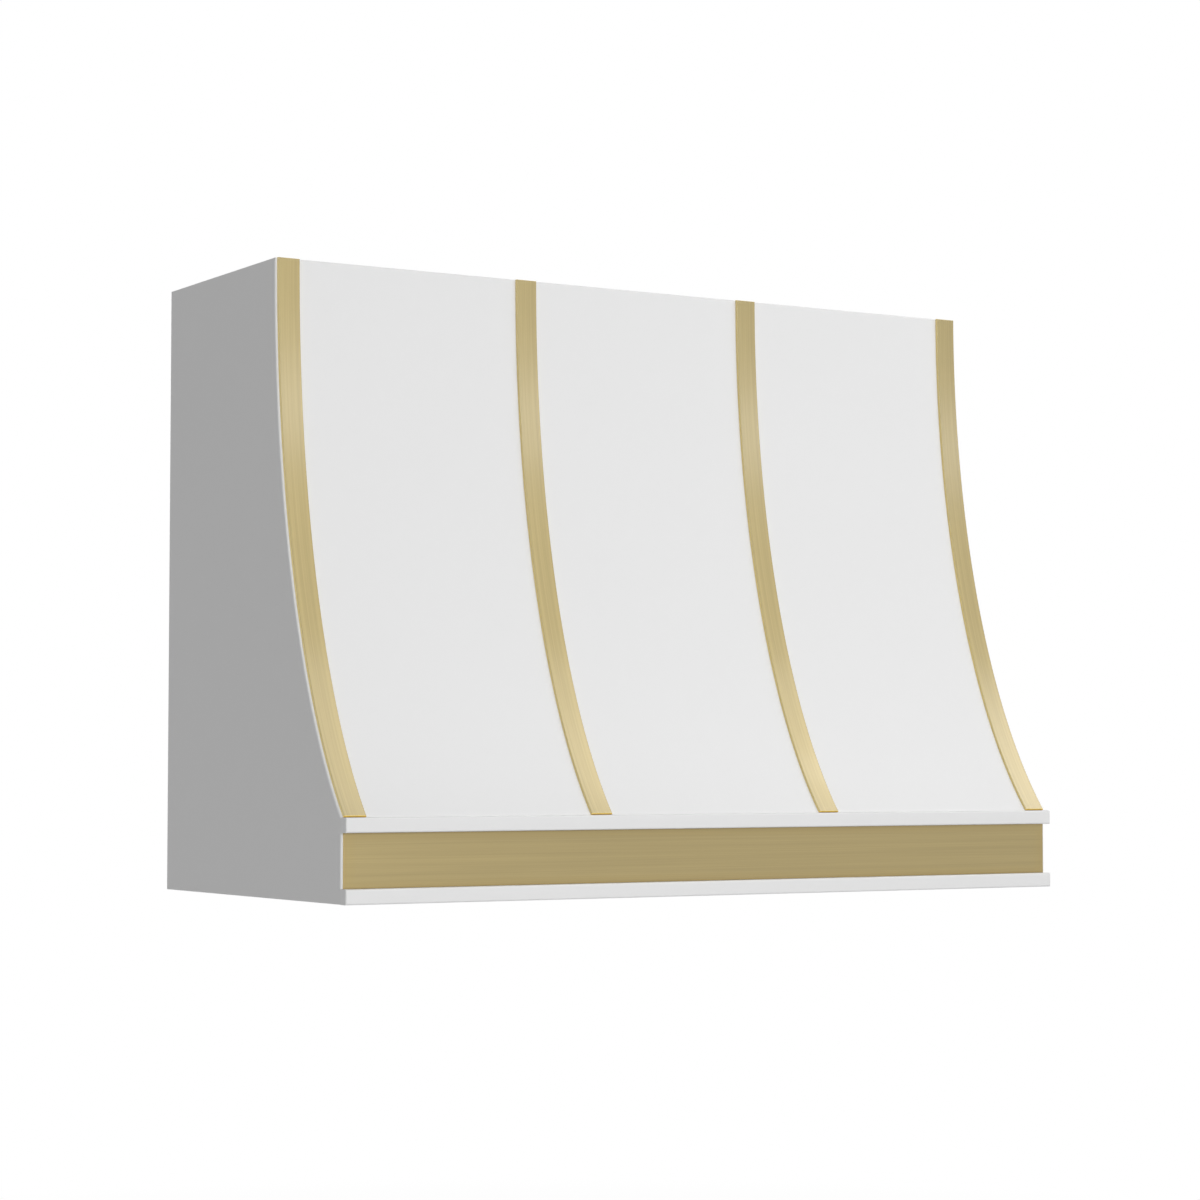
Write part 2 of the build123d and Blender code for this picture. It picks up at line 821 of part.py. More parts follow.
def blade_sides(line):
    """The other three sides of a blade whose first side is an arc."""
    start = line @ 0
    end = line @ 1
    shift = Vector(0, blade_thickness)
    other = RadiusArc(start + shift, end + shift, wheel_radius - wheel_bore)
    return [other, Line(start, start + shift), Line(end, end + shift)]


def make_motor():
    """Round motor with a blind bore for the turning shaft."""
    axis = (-fan_from_wall, fan_height)
    body = rod(motor_radius, (motor_left, *axis), (motor_right, *axis))
    body = fillet(body.edges().filter_by(GeomType.CIRCLE), clamp_thickness)
    bore_end = motor_left + shaft_depth + shaft_radius / 2
    return body - rod(shaft_radius + shaft_room, (motor_left, *axis), (bore_end, *axis))


def make_motor_shaft():
    """Turning shaft through the hub into the motor."""
    axis = (-fan_from_wall, fan_height)
    return rod(shaft_radius, (-shaft_start, *axis), (motor_left + shaft_depth, *axis))


def make_motor_bracket():
    """Clamp round the motor with three arms on the outside of the right side plate."""
    plate = scroll_half + sheet
    inner = motor_radius + clamp_room
    outer = inner + clamp_thickness
    bracket = ring(outer, inner, (plate, 0, 0), (plate + clamp_length - clamp_thickness, 0, 0))
    for angle in arm_angles:
        arm = block(plate, plate + arm_thickness, -arm_half, arm_half, inner + clamp_thickness / 2, arm_end)
        bracket += Rot(angle, 0, 0) * arm
    return Pos(0, -fan_from_wall, fan_height) * bracket


# Duct collar and damper


def make_duct_collar():
    """Collar for the duct, with a flange on the cabinet, holes for the pin and stops for the flaps."""
    base = (0, -duct_from_wall, cabinet_top)
    top = (0, -duct_from_wall, cabinet_top + collar_height)
    collar = rod(collar_radius, base, top)
    collar += rod(collar_radius + collar_flange, base, (0, -duct_from_wall, cabinet_top + sheet))
    collar -= rod(collar_bore, base, top)
    stop_top = damper_height - damper_sheet / 2 - stop_room
    for side in (-1, 1):
        y = side * (collar_bore - stop_reach)
        wall = side * (collar_bore + collar_wall / 2)
        front = min(y, wall) - duct_from_wall
        rear = max(y, wall) - duct_from_wall
        collar += block(-stop_half, stop_half, front, rear, stop_top - stop_height, stop_top)
    hole = damper_pin_radius + damper_room
    axis = (-duct_from_wall, damper_height)
    return collar - rod(hole, (-collar_radius, *axis), (collar_radius, *axis))


def make_damper_pin():
    """Pin across the collar that both flaps turn on."""
    axis = (-duct_from_wall, damper_height)
    half = collar_radius - collar_wall / 4
    return rod(damper_pin_radius, (-half, *axis), (half, *axis))


def make_damper_flap(side):
    """Half round flap on one side of the pin, with sleeves that take turns with the other flap's."""
    bore = damper_pin_radius + damper_room
    sleeve = bore + damper_sleeve
    edge = sleeve + damper_gap
    radius = collar_bore - damper_edge_room
    thick = damper_sheet / 2
    flap = rod(radius, (0, 0, -thick), (0, 0, thick))
    flap &= block(-radius, radius, edge, radius, -thick, thick)
    span = 2 * damper_sleeve_span / damper_sleeve_count
    for index in range(damper_sleeve_count):
        if index % 2 == (side > 0):
            left = index * span - damper_sleeve_span + damper_sleeve_gap / 2
            right = left + span - damper_sleeve_gap
            flap += rod(sleeve, (left, 0, 0), (right, 0, 0))
            flap += block(left, right, bore, edge, -thick, thick)
            flap -= rod(bore, (left, 0, 0), (right, 0, 0))
    if side < 0:
        flap = mirror(flap, about=Plane.XZ)
    return Pos(0, -duct_from_wall, damper_height) * flap


# Junction box


def make_junction_box():
    """Open box on the plenum with a hole for the cable gland in its rear wall."""
    top = plenum_top + junction_height
    wall = junction_wall
    box = block(junction_left, junction_right, -junction_front, -junction_rear, plenum_top, top)
    box -= block(junction_left + wall, junction_right - wall, wall - junction_front,
                 -junction_rear - wall, plenum_top + wall, top)
    axis = gland_axis()
    hole = rod(gland_barrel + gland_room, (axis[0], -junction_rear - wall, axis[1]),
               (axis[0], -junction_rear, axis[1]))
    return box - hole


def make_junction_cover():
    """Lid that lies on the box, with a lip that locates it inside."""
    top = plenum_top + junction_height
    room = junction_wall + gland_room
    cover = block(junction_left, junction_right, -junction_front, -junction_rear, top, top + junction_wall)
    lip = block(junction_left + room, junction_right - room, room - junction_front,
                -junction_rear - room, top - junction_cover_lip, top)
    inside = room + junction_wall
    lip -= block(junction_left + inside, junction_right - inside, inside - junction_front,
                 -junction_rear - inside, top - junction_cover_lip, top)
    return cover + lip


def gland_axis():
    """X and Z of the cable gland."""
    return ((junction_left + junction_right) / 2, plenum_top + gland_rise)


def make_cable_gland():
    """Gland through the rear wall of the box, with a collar outside and a nut inside."""
    x, z = gland_axis()
    wall = -junction_rear
    inside = wall - junction_wall
    gland = rod(gland_barrel, (x, inside - gland_nut_length, z), (x, wall + gland_length, z))
    gland += rod(gland_collar, (x, wall, z), (x, wall + gland_collar_length, z))
    gland += rod(gland_collar, (x, inside - gland_nut_length, z), (x, inside, z))
    return gland - rod(gland_bore, (x, inside - gland_nut_length, z), (x, wall + gland_length, z))


# Every piece by name

right_side = make_side_panel()
right_rib = make_rib()
outer_strap_centre = half_width - trim_inset - strap_width / 2
parts = {
    "left_side_panel": mirrored(right_side),
    "right_side_panel": right_side,
    "front_panel": make_front_panel(),
    "apron_board": block(-inner_half, inner_half, -apron_depth, -apron_inside, 0, apron_top),
    "upper_moulding": make_moulding(band_top, apron_top),
    "lower_moulding": make_moulding(0, lower_moulding_height),
    "top_panel": make_top_panel(),
    "upper_hanging_rail": make_rail(top_underside - rail_height),
    "lower_hanging_rail": make_rail(0),
    "left_rib": mirrored(right_rib),
    "right_rib": right_rib,
    "bottom_shelf": make_shelf(),
    "shelf_cleats": make_shelf_cleats(),
    "top_cleats": make_top_cleats(),
    "left_outer_strap": make_strap(-outer_strap_centre),
    "left_inner_strap": make_strap(-inner_strap_centre),
    "right_inner_strap": make_strap(inner_strap_centre),
    "right_outer_strap": make_strap(outer_strap_centre),
    "brass_band": make_brass_band(),
    "insert_plate": make_insert_plate(),
    "insert_screws": make_insert_screws(),
    "plenum_box": make_plenum_box(),
    "filter_rack": make_filter_rack(),
    "filter_hooks": make_filter_hooks(),
    "filter_magnets": make_filter_magnets(),
    "grease_tray": make_grease_tray(),
    "tray_brackets": make_tray_brackets(),
    "light_bodies": make_light_bodies(),
    "light_bezels": make_light_bezels(),
    "light_lenses": make_light_lenses(),
    "control_plate": make_control_plate(),
    "switch_box": make_switch_box(),
    "blower_cabinet": make_blower_cabinet(),
    "blower_housing": make_blower_housing(),
    "inlet_rings": make_inlet_rings(),
    "impeller": make_impeller(),
    "motor": make_motor(),
    "motor_shaft": make_motor_shaft(),
    "motor_bracket": make_motor_bracket(),
    "duct_collar": make_duct_collar(),
    "damper_pin": make_damper_pin(),
    "front_damper_flap": make_damper_flap(-1),
    "rear_damper_flap": make_damper_flap(1),
    "junction_box": make_junction_box(),
    "junction_cover": make_junction_cover(),
    "cable_gland": make_cable_gland(),
}
for name, place in filter_places().items():
    parts[f"{name}_filter_frame"] = make_filter_frame(place)
    parts[f"{name}_filter_baffles"] = make_filter_baffles(place)
    parts[f"{name}_filter_handle"] = make_filter_handle(place)
for name, place in button_places().items():
    parts[f"{name}_button"] = make_button(place)

os.makedirs("parts", exist_ok=True)
for name, shape in parts.items():
    export_step(shape, f"parts/{name}.step")
print(len(parts), "pieces")
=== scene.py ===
"""Dresses a wall range hood for the eye: a white shell with brass straps over a metal insert.

Lengths are metres. X runs to the right, Y towards the wall and Z up, as in the frame. Every new
surface is worked out with numpy as whole arrays, and every finish is a node material in object
space or in the piece's own UV map.
"""

from __future__ import annotations

import logging
import math
from collections.abc import Callable, Mapping, Sequence
from dataclasses import dataclass
from enum import Enum
from typing import ClassVar

import bpy
import numpy as np
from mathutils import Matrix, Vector


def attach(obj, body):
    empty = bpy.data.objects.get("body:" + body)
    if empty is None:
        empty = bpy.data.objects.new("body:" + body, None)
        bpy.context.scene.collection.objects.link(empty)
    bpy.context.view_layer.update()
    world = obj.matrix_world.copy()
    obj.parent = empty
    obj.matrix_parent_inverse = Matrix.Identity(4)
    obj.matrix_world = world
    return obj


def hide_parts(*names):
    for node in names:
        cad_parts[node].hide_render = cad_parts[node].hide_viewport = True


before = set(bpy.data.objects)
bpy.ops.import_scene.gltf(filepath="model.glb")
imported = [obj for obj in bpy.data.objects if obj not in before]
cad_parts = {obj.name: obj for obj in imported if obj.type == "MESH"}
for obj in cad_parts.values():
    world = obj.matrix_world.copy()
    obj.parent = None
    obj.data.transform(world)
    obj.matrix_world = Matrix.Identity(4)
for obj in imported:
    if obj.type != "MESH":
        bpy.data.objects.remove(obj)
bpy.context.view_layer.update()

log = logging.getLogger("range_hood")

QUARTER_TURN = math.pi / 2
SHARP_ANGLE = math.radians(40.0)  # smallest angle that stays a sharp edge
EASE_LINES = 6  # grid lines over one eased edge
CHORDS = 2000  # chords that measure the curve

# Names of the UV map and of the marks on new pieces
GRAIN_MAP = "grain"
EDGE_MARK = "edge"
# Mark of a strap's foot, where a bright gold glint is painted
FOOT_GLINT_MARK = "cut"

Pair = tuple[float, float]
Triple = tuple[float, float, float]
Colour = tuple[float, float, float, float]
Spans = tuple[int, int]
Place = Callable[[np.ndarray, np.ndarray, np.ndarray], np.ndarray]


class Axis(Enum):
    """Axis of the frame, as the index of its coordinate."""

    X = 0
    Y = 1
    Z = 2


# Shader arithmetic


class Value:
    """Number or colour that a shader works out. Operators on it add Math nodes."""

    def __init__(self, shader: Shader, socket: bpy.types.NodeSocket) -> None:
        """Keeps the socket and the shader that it belongs to.

        Args:
            shader: Shader whose tree holds the socket.
            socket: Output socket.
        """
        self.shader = shader
        self.socket = socket

    def __add__(self, other: Number) -> Value:
        """Sum."""
        return self.shader.math("ADD", self, other)

    def __radd__(self, other: Number) -> Value:
        """Sum with a number on the left."""
        return self.shader.math("ADD", other, self)

    def __sub__(self, other: Number) -> Value:
        """Difference."""
        return self.shader.math("SUBTRACT", self, other)

    def __mul__(self, other: Number) -> Value:
        """Product."""
        return self.shader.math("MULTIPLY", self, other)


Number = Value | float
Input = Value | float | Sequence[float] | str


class Shader:
    """Node tree of one material or of the world, built by calls that return values."""

    def __init__(self, owner: bpy.types.Material | bpy.types.World) -> None:
        """Empties the tree of a material or world.

        Args:
            owner: Material or world whose nodes are built.
        """
        owner.use_nodes = True
        self.tree = owner.node_tree
        self.tree.nodes.clear()

    def add(
        self,
        kind: str,
        settings: Mapping[str, object] | None = None,
        inputs: Mapping[str | int, Input] | None = None,
        output: str | int = 0,
    ) -> Value:
        """Adds a node, sets it up and connects it.

        Args:
            kind: Type of the node.
            settings: Properties, set before the sockets. "stops" holds a ramp's stops.
            inputs: Value or link for each socket, by name or index.
            output: Output socket to return, by name or index.

        Returns:
            The chosen output of the node, without a socket where the node has none.
        """
        node = self.tree.nodes.new(kind)
        for name, setting in (settings or {}).items():
            if name == "stops":
                self._set_stops(node.color_ramp, setting)
            else:
                setattr(node, name, setting)
        for name, value in (inputs or {}).items():
            if isinstance(value, Value):
                self.tree.links.new(value.socket, node.inputs[name])
            else:
                node.inputs[name].default_value = value
        return Value(self, node.outputs[output] if node.outputs else None)

    @staticmethod
    def _set_stops(ramp: bpy.types.ColorRamp, stops: Sequence[Pair]) -> None:
        """Gives a ramp its stops.

        Args:
            ramp: Ramp of two stops.
            stops: Place and grey level of each stop, in rising order.
        """
        while len(ramp.elements) < len(stops):
            ramp.elements.new(1.0)
        for element, (place, level) in zip(ramp.elements, stops):
            element.position = place
            element.color = grey(level)

    def math(self, operation: str, *values: Number) -> Value:
        """Math node on numbers and values."""
        return self.add("ShaderNodeMath", {"operation": operation}, dict(enumerate(values)))

    def mix(self, share: Number, first: Input, second: Input) -> Value:
        """Blend of two colours.

        Args:
            share: Share of the second colour.
            first: First colour, red, green, blue and alpha.
            second: Second colour.

        Returns:
            The blended colour.
        """
        settings = {"data_type": "RGBA", "clamp_factor": True}
        return self.add("ShaderNodeMix", settings, {0: share, 6: first, 7: second}, 2)

    def points(self) -> Value:
        """Object coordinates, in metres."""
        return self.add("ShaderNodeTexCoord", output="Object")

    def map_uv(self) -> Value:
        """The piece's own UV map, in metres along and across its grain."""
        return self.add("ShaderNodeUVMap", {"uv_map": GRAIN_MAP})

    def mark(self, name: str) -> Value:
        """One where a new piece is marked, along eased edges or at a strap's foot where a glint is
        painted, and zero elsewhere.
        """
        return self.add("ShaderNodeAttribute", {"attribute_name": name}, output="Fac")

    def noise(
        self, where: Value, stretch: Triple | float, detail: float, rough: float = 0.5
    ) -> Value:
        """Cloudy pattern between 0 and 1.

        Args:
            where: Coordinates.
            stretch: Cycles per metre along each axis, or one number for all three.
            detail: Number of finer octaves.
            rough: Strength of the finer octaves.

        Returns:
            The pattern, around one half.
        """
        scale = (stretch,) * 3 if isinstance(stretch, float) else stretch
        mapped = self.add("ShaderNodeMapping", inputs={"Vector": where, "Scale": scale})
        sockets = {"Vector": mapped, "Scale": 1.0, "Detail": detail, "Roughness": rough}
        return self.add("ShaderNodeTexNoise", inputs=sockets)

    def ramp(self, value: Value, *stops: Pair) -> Value:
        """Ramp of grey levels.

        Args:
            value: Value to look up.
            stops: Place and level of each stop, in rising order.

        Returns:
            The level at the value.
        """
        return self.add("ShaderNodeValToRGB", {"stops": stops}, {"Fac": value})

    def rise(self, value: Value, span: Pair) -> Value:
        """Ramp from 0 at the start of a span to 1 at its end."""
        return self.ramp(value, (span[0], 0.0), (span[1], 1.0))

    def bump(self, height: Value, distance: float, strength: float) -> Value:
        """Surface relief.

        Args:
            height: Height between 0 and 1.
            distance: Depth of the relief in metres.
            strength: Share of the relief that shows.

        Returns:
            The changed normal.
        """
        sockets = {"Height": height, "Distance": distance, "Strength": strength}
        return self.add("ShaderNodeBump", inputs=sockets)

    def surface(self, **inputs: Input) -> None:
        """Principled surface. Each argument is a socket's name with underscores for spaces."""
        sockets = {name.replace("_", " "): value for name, value in inputs.items()}
        self.output(self.add("ShaderNodeBsdfPrincipled", inputs=sockets))

    def output(self, surface: Value) -> None:
        """Connects a surface shader to the material's output."""
        self.add("ShaderNodeOutputMaterial", inputs={"Surface": surface})


def grey(level: float) -> Colour:
    """Grey of a level, with full alpha."""
    return (level, level, level, 1.0)


def opaque(colour: Triple) -> Colour:
    """Colour with full alpha."""
    return (*colour, 1.0)


def shaded(colour: Triple, factor: float) -> Colour:
    """Colour made lighter or darker by a factor, with full alpha."""
    return opaque(tuple(min(1.0, channel * factor) for channel in colour))


# Finishes


@dataclass(frozen=True)
class Finish:
    """Finish of a surface, with the name of the material slot that it stands for."""

    name: str
    slot: str
    colour: Triple

    def paint(self, shader: Shader) -> None:
        """Builds the nodes of the finish."""
        raise NotImplementedError

    def tones(self, shader: Shader, pattern: Value, span: Pair) -> Value:
        """The finish's colour, made darker and lighter by a pattern.

        Args:
            shader: Shader of the material.
            pattern: Pattern between 0 and 1.
            span: Factors of the colour where the pattern is 0 and where it is 1.

        Returns:
            The varied colour.
        """
        dark, light = span
        return shader.mix(pattern, shaded(self.colour, dark), shaded(self.colour, light))

    def material(self) -> bpy.types.Material:
        """The material of this finish, made on first use.

        Returns:
            Material with the finish's name.
        """
        material = bpy.data.materials.get(self.name)
        if material is None:
            material = bpy.data.materials.new(self.name)
            self.paint(Shader(material))
        return material


@dataclass(frozen=True)
class SatinPaint(Finish):
    """Sprayed satin paint on board: a slow unevenness, a fine orange peel and slightly lighter
    eased edges.
    """

    roughness: float = 0.42
    specular: float = 0.42
    tone_span: Pair = (0.985, 1.015)
    eased_edge_tone: float = 1.03
    cloud_scale: float = 1.7
    speck_scale: float = 55.0
    peel_scale: float = 520.0
    peel_depth: float = 0.00003

    def paint(self, shader: Shader) -> None:
        """Builds the nodes: clouds, specks, peel and a lighter tone along the eased edges.

        Args:
            shader: Shader of the material.
        """
        where = shader.points()
        clouds = shader.noise(where, self.cloud_scale, 3.0)
        specks = shader.noise(where, self.speck_scale, 4.0, 0.6)
        peel = shader.noise(where, self.peel_scale, 1.0)
        edge = shader.mark(EDGE_MARK)
        unevenness = clouds * 0.7 + specks * 0.3
        flat = self.tones(shader, unevenness, self.tone_span)
        # A little lighter along the eased edges
        edge_lightening = edge * (0.25 + specks * 0.5)
        sheen = (clouds - 0.5) * 0.10 + (specks - 0.5) * 0.06 - edge * 0.06
        shader.surface(
            Base_Color=shader.mix(edge_lightening, flat, shaded(self.colour, self.eased_edge_tone)),
            Roughness=self.roughness + sheen,
            Specular_IOR_Level=self.specular,
            Normal=shader.bump(peel * 0.7 + specks * 0.3, self.peel_depth, 0.6),
        )


@dataclass(frozen=True)
class BrushedMetal(Finish):
    """Metal brushed along one direction, or along its own UV map where it has no axis.

    Streaks are given by their length and width. The lacquer is the weight of a clear coat.
    """

    along: Axis | None = Axis.X
    # Painted light and shade along the edges: a highlight on the straps' sides and a darker line
    # on the band
    painted_edge_colour: Triple | None = None
    # Painted glint on a strap's cut foot
    foot_glint_colour: Triple | None = None
    roughness: float = 0.30
    contrast: float = 0.10
    lacquer: float = 0.0
    lacquer_roughness: float = 0.15
    lacquer_ior: float = 1.6
    fine_streaks: Pair = (0.11, 0.00035)
    medium_streaks: Pair = (0.32, 0.0016)
    broad_streaks: Pair = (0.9, 0.005)
    cloud_scale: float = 4.0
    grain_span: Pair = (0.36, 0.64)
    grain_depth: float = 0.00002

    def paint(self, shader: Shader) -> None:
        """Builds the nodes: three widths of streaks, slow tone changes, a colour painted along the
        edges as light and shade, and a painted glint at a strap's foot.

        Args:
            shader: Shader of the material.
        """
        if self.along is None:
            where = shader.map_uv()
            axis = 0
        else:
            where = shader.points()
            axis = self.along.value

        def streaks(size: Pair, detail: float) -> Value:
            """Streaks of a length and a width.

            Args:
                size: Length and width of a streak.
                detail: Number of finer octaves.

            Returns:
                The pattern, around one half.
            """
            length, width = size
            stretch = [1.0 / width] * 3
            stretch[axis] = 1.0 / length
            return shader.noise(where, tuple(stretch), detail)

        fine = streaks(self.fine_streaks, 2.0)
        medium = streaks(self.medium_streaks, 2.0)
        broad = streaks(self.broad_streaks, 1.0)
        clouds = shader.noise(where, self.cloud_scale, 2.0)
        grain = fine * 0.25 + medium * 0.35 + broad * 0.3 + clouds * 0.1
        levels = shader.rise(grain, self.grain_span)
        face = self.tones(shader, levels, (1.0 - self.contrast, 1.0 + self.contrast))
        edge = shader.mark(EDGE_MARK)
        # Painted light along the eased edges: a highlight on the straps, a darker, deeper line on
        # the band
        rim = opaque(self.painted_edge_colour or self.colour)
        whole = shader.mix(edge * (0.65 + medium * 0.5), face, rim)
        # Painted glint: a bright, saturated gold on the strap's foot, standing in for light caught
        # there
        bare = opaque(self.foot_glint_colour or self.colour)
        cut = shader.mark(FOOT_GLINT_MARK) * (0.7 + medium * 0.5)
        sheen = (fine - 0.5) * 0.22 + (clouds - 0.5) * 0.08 - edge * 0.05
        shader.surface(
            Base_Color=shader.mix(cut, whole, bare),
            Metallic=1.0,
            Roughness=self.roughness + sheen,
            Coat_Weight=self.lacquer,
            Coat_Roughness=self.lacquer_roughness,
            Coat_IOR=self.lacquer_ior,
            Normal=shader.bump(fine * 0.6 + medium * 0.4, self.grain_depth, 0.5),
        )


@dataclass(frozen=True)
class ZincSheet(Finish):
    """Zinc-coated sheet with its crystal pattern and a dull film."""

    metallic: float = 0.92
    roughness: float = 0.34
    tone_span: Pair = (0.80, 1.16)
    crystal: float = 0.014
    warp: float = 0.012
    warp_scale: float = 30.0
    feather_scale: Triple = (900.0, 160.0, 160.0)
    film_scale: float = 6.0
    crystal_depth: float = 0.00003

    def paint(self, shader: Shader) -> None:
        """Builds the nodes: crystals of different tone, feathered inside, with a film on them.

        Args:
            shader: Shader of the material.
        """
        where = shader.points()
        drift = shader.noise(where, self.warp_scale, 2.0)
        bent = shader.add(
            "ShaderNodeVectorMath",
            {"operation": "MULTIPLY_ADD"},
            {0: drift, 1: (self.warp,) * 3, 2: where},
        )
        cells = shader.add(
            "ShaderNodeTexVoronoi",
            inputs={"Vector": bent, "Scale": 1.0 / self.crystal},
            output="Color",
        )
        tone = shader.add("ShaderNodeSeparateColor", inputs={0: cells})
        feather = shader.noise(where, self.feather_scale, 2.0)
        film = shader.noise(where, self.film_scale, 4.0)
        level = tone * 0.62 + feather * 0.2 + film * 0.18
        shader.surface(
            Base_Color=self.tones(shader, level, self.tone_span),
            Metallic=self.metallic,
            Roughness=self.roughness + tone * 0.16 + (film - 0.5) * 0.14,
            Normal=shader.bump(tone * 0.5 + feather * 0.5, self.crystal_depth, 0.35),
        )


@dataclass(frozen=True)
class Plywood(Finish):
    """Bare plywood with long face grain, and its layers on the cut edges.

    The layers, nine in a 19 mm board, are counted from a start along the axis through it.
    """

    along: Axis = Axis.X
    through: Axis = Axis.Z
    start: float = 0.0
    layer: float = 0.019 / 9
    roughness: float = 0.62
    specular: float = 0.3
    face_tones: Pair = (0.80, 1.10)
    edge_tones: Pair = (0.52, 0.98)
    ring_count: float = 9.0
    ring_scales: Pair = (1.6, 34.0)
    pore_scales: Pair = (22.0, 900.0)
    pore_depth: float = 0.00015
    layer_span: Pair = (0.42, 0.58)
    facing_span: Pair = (0.55, 0.75)

    def stretch(self, scales: Pair) -> Triple:
        """Cycles per metre along each axis.

        Args:
            scales: Cycles per metre along the grain and across it.

        Returns:
            The scale of a noise on each axis.
        """
        along, across = scales
        cycles = [across] * 3
        cycles[self.along.value] = along
        return tuple(cycles)

    def paint(self, shader: Shader) -> None:
        """Builds the nodes: growth rings and pores on the faces, layers on the cut edges.

        Args:
            shader: Shader of the material.
        """
        where = shader.points()
        rings = shader.noise(where, self.stretch(self.ring_scales), 3.0, 0.6)
        bands = shader.math("PINGPONG", rings * self.ring_count, 1.0)
        pores = shader.noise(where, self.stretch(self.pore_scales), 2.0)
        face_level = bands * 0.45 + pores * 0.3 + rings * 0.25
        face = self.tones(shader, face_level, self.face_tones)
        level = shader.add("ShaderNodeSeparateXYZ", inputs={0: where}, output=self.through.value)
        depth = (level - self.start) * (1.0 / self.layer)
        layers = shader.rise(shader.math("PINGPONG", depth, 1.0), self.layer_span)
        edge = self.tones(shader, layers * 0.6 + pores * 0.4, self.edge_tones)
        normal = shader.add("ShaderNodeNewGeometry", output="Normal")
        facing = shader.add("ShaderNodeSeparateXYZ", inputs={0: normal}, output=self.through.value)
        on_face = shader.rise(shader.math("ABSOLUTE", facing), self.facing_span)
        shader.surface(
            Base_Color=shader.mix(on_face, edge, face),
            Roughness=self.roughness + (pores - 0.5) * 0.2,
            Specular_IOR_Level=self.specular,
            Normal=shader.bump(pores * 0.6 + bands * 0.4, self.pore_depth, 0.5),
        )


@dataclass(frozen=True)
class MouldedPlastic(Finish):
    """Moulded plastic with a spark-eroded texture."""

    roughness: float = 0.45
    tone_span: Pair = (0.93, 1.07)
    grain_scale: float = 2400.0
    grain_depth: float = 0.00004
    flow_scale: Triple = (28.0, 60.0, 28.0)

    def paint(self, shader: Shader) -> None:
        """Builds the nodes: a fine texture, faint flow marks and handling gloss.

        Args:
            shader: Shader of the material.
        """
        where = shader.points()
        grain = shader.noise(where, self.grain_scale, 2.0)
        flow = shader.noise(where, self.flow_scale, 3.0)
        shader.surface(
            Base_Color=self.tones(shader, flow, self.tone_span),
            Roughness=self.roughness + (flow - 0.5) * 0.16 + (grain - 0.5) * 0.1,
            Normal=shader.bump(grain, self.grain_depth, 0.5),
        )


@dataclass(frozen=True)
class Enamel(Finish):
    """Stoved enamel on metal."""

    roughness: float = 0.34
    tone_span: Pair = (0.85, 1.35)
    gloss: float = 0.35
    gloss_roughness: float = 0.2
    peel_scale: float = 420.0
    peel_depth: float = 0.00005
    dust_scale: float = 90.0

    def paint(self, shader: Shader) -> None:
        """Builds the nodes: orange peel, dust in the coat and a soft gloss.

        Args:
            shader: Shader of the material.
        """
        where = shader.points()
        peel = shader.noise(where, self.peel_scale, 2.0)
        dust = shader.noise(where, self.dust_scale, 5.0, 0.7)
        shader.surface(
            Base_Color=self.tones(shader, dust, self.tone_span),
            Roughness=self.roughness + dust * 0.16,
            Coat_Weight=self.gloss,
            Coat_Roughness=self.gloss_roughness,
            Normal=shader.bump(peel * 0.7 + dust * 0.3, self.peel_depth, 0.5),
        )


@dataclass(frozen=True)
class CastMetal(Finish):
    """Die-cast or plated metal with a fine skin."""

    roughness: float = 0.42
    tone_span: Pair = (0.86, 1.1)
    skin_scale: float = 900.0
    skin_depth: float = 0.00008
    flow_scale: Triple = (45.0, 45.0, 20.0)

    def paint(self, shader: Shader) -> None:
        """Builds the nodes: skin, flow marks and small stains.

        Args:
            shader: Shader of the material.
        """
        where = shader.points()
        skin = shader.noise(where, self.skin_scale, 3.0)
        flow = shader.noise(where, self.flow_scale, 3.0, 0.6)
        shader.surface(
            Base_Color=self.tones(shader, flow, self.tone_span),
            Metallic=1.0,
            Roughness=self.roughness + (flow - 0.5) * 0.16 + (skin - 0.5) * 0.12,
            Normal=shader.bump(skin, self.skin_depth, 0.4),
        )


@dataclass(frozen=True)
class FrostedLens(Finish):
    """Frosted glass of a lamp that is off."""

    roughness: float = 0.38
    tone_span: Pair = (0.95, 1.0)
    ior: float = 1.5
    clearness: float = 0.55
    etch_scale: float = 1600.0
    etch_depth: float = 0.00004
    haze_scale: float = 60.0

    def paint(self, shader: Shader) -> None:
        """Builds the nodes: an etched skin over clear glass.

        Args:
            shader: Shader of the material.
        """
        where = shader.points()
        etch = shader.noise(where, self.etch_scale, 2.0)
        haze = shader.noise(where, self.haze_scale, 3.0)
        shader.surface(
            Base_Color=self.tones(shader, haze, self.tone_span),
            Roughness=self.roughness + haze * 0.14,
            IOR=self.ior,
            Transmission_Weight=self.clearness,
            Normal=shader.bump(etch, self.etch_depth, 0.5),
        )


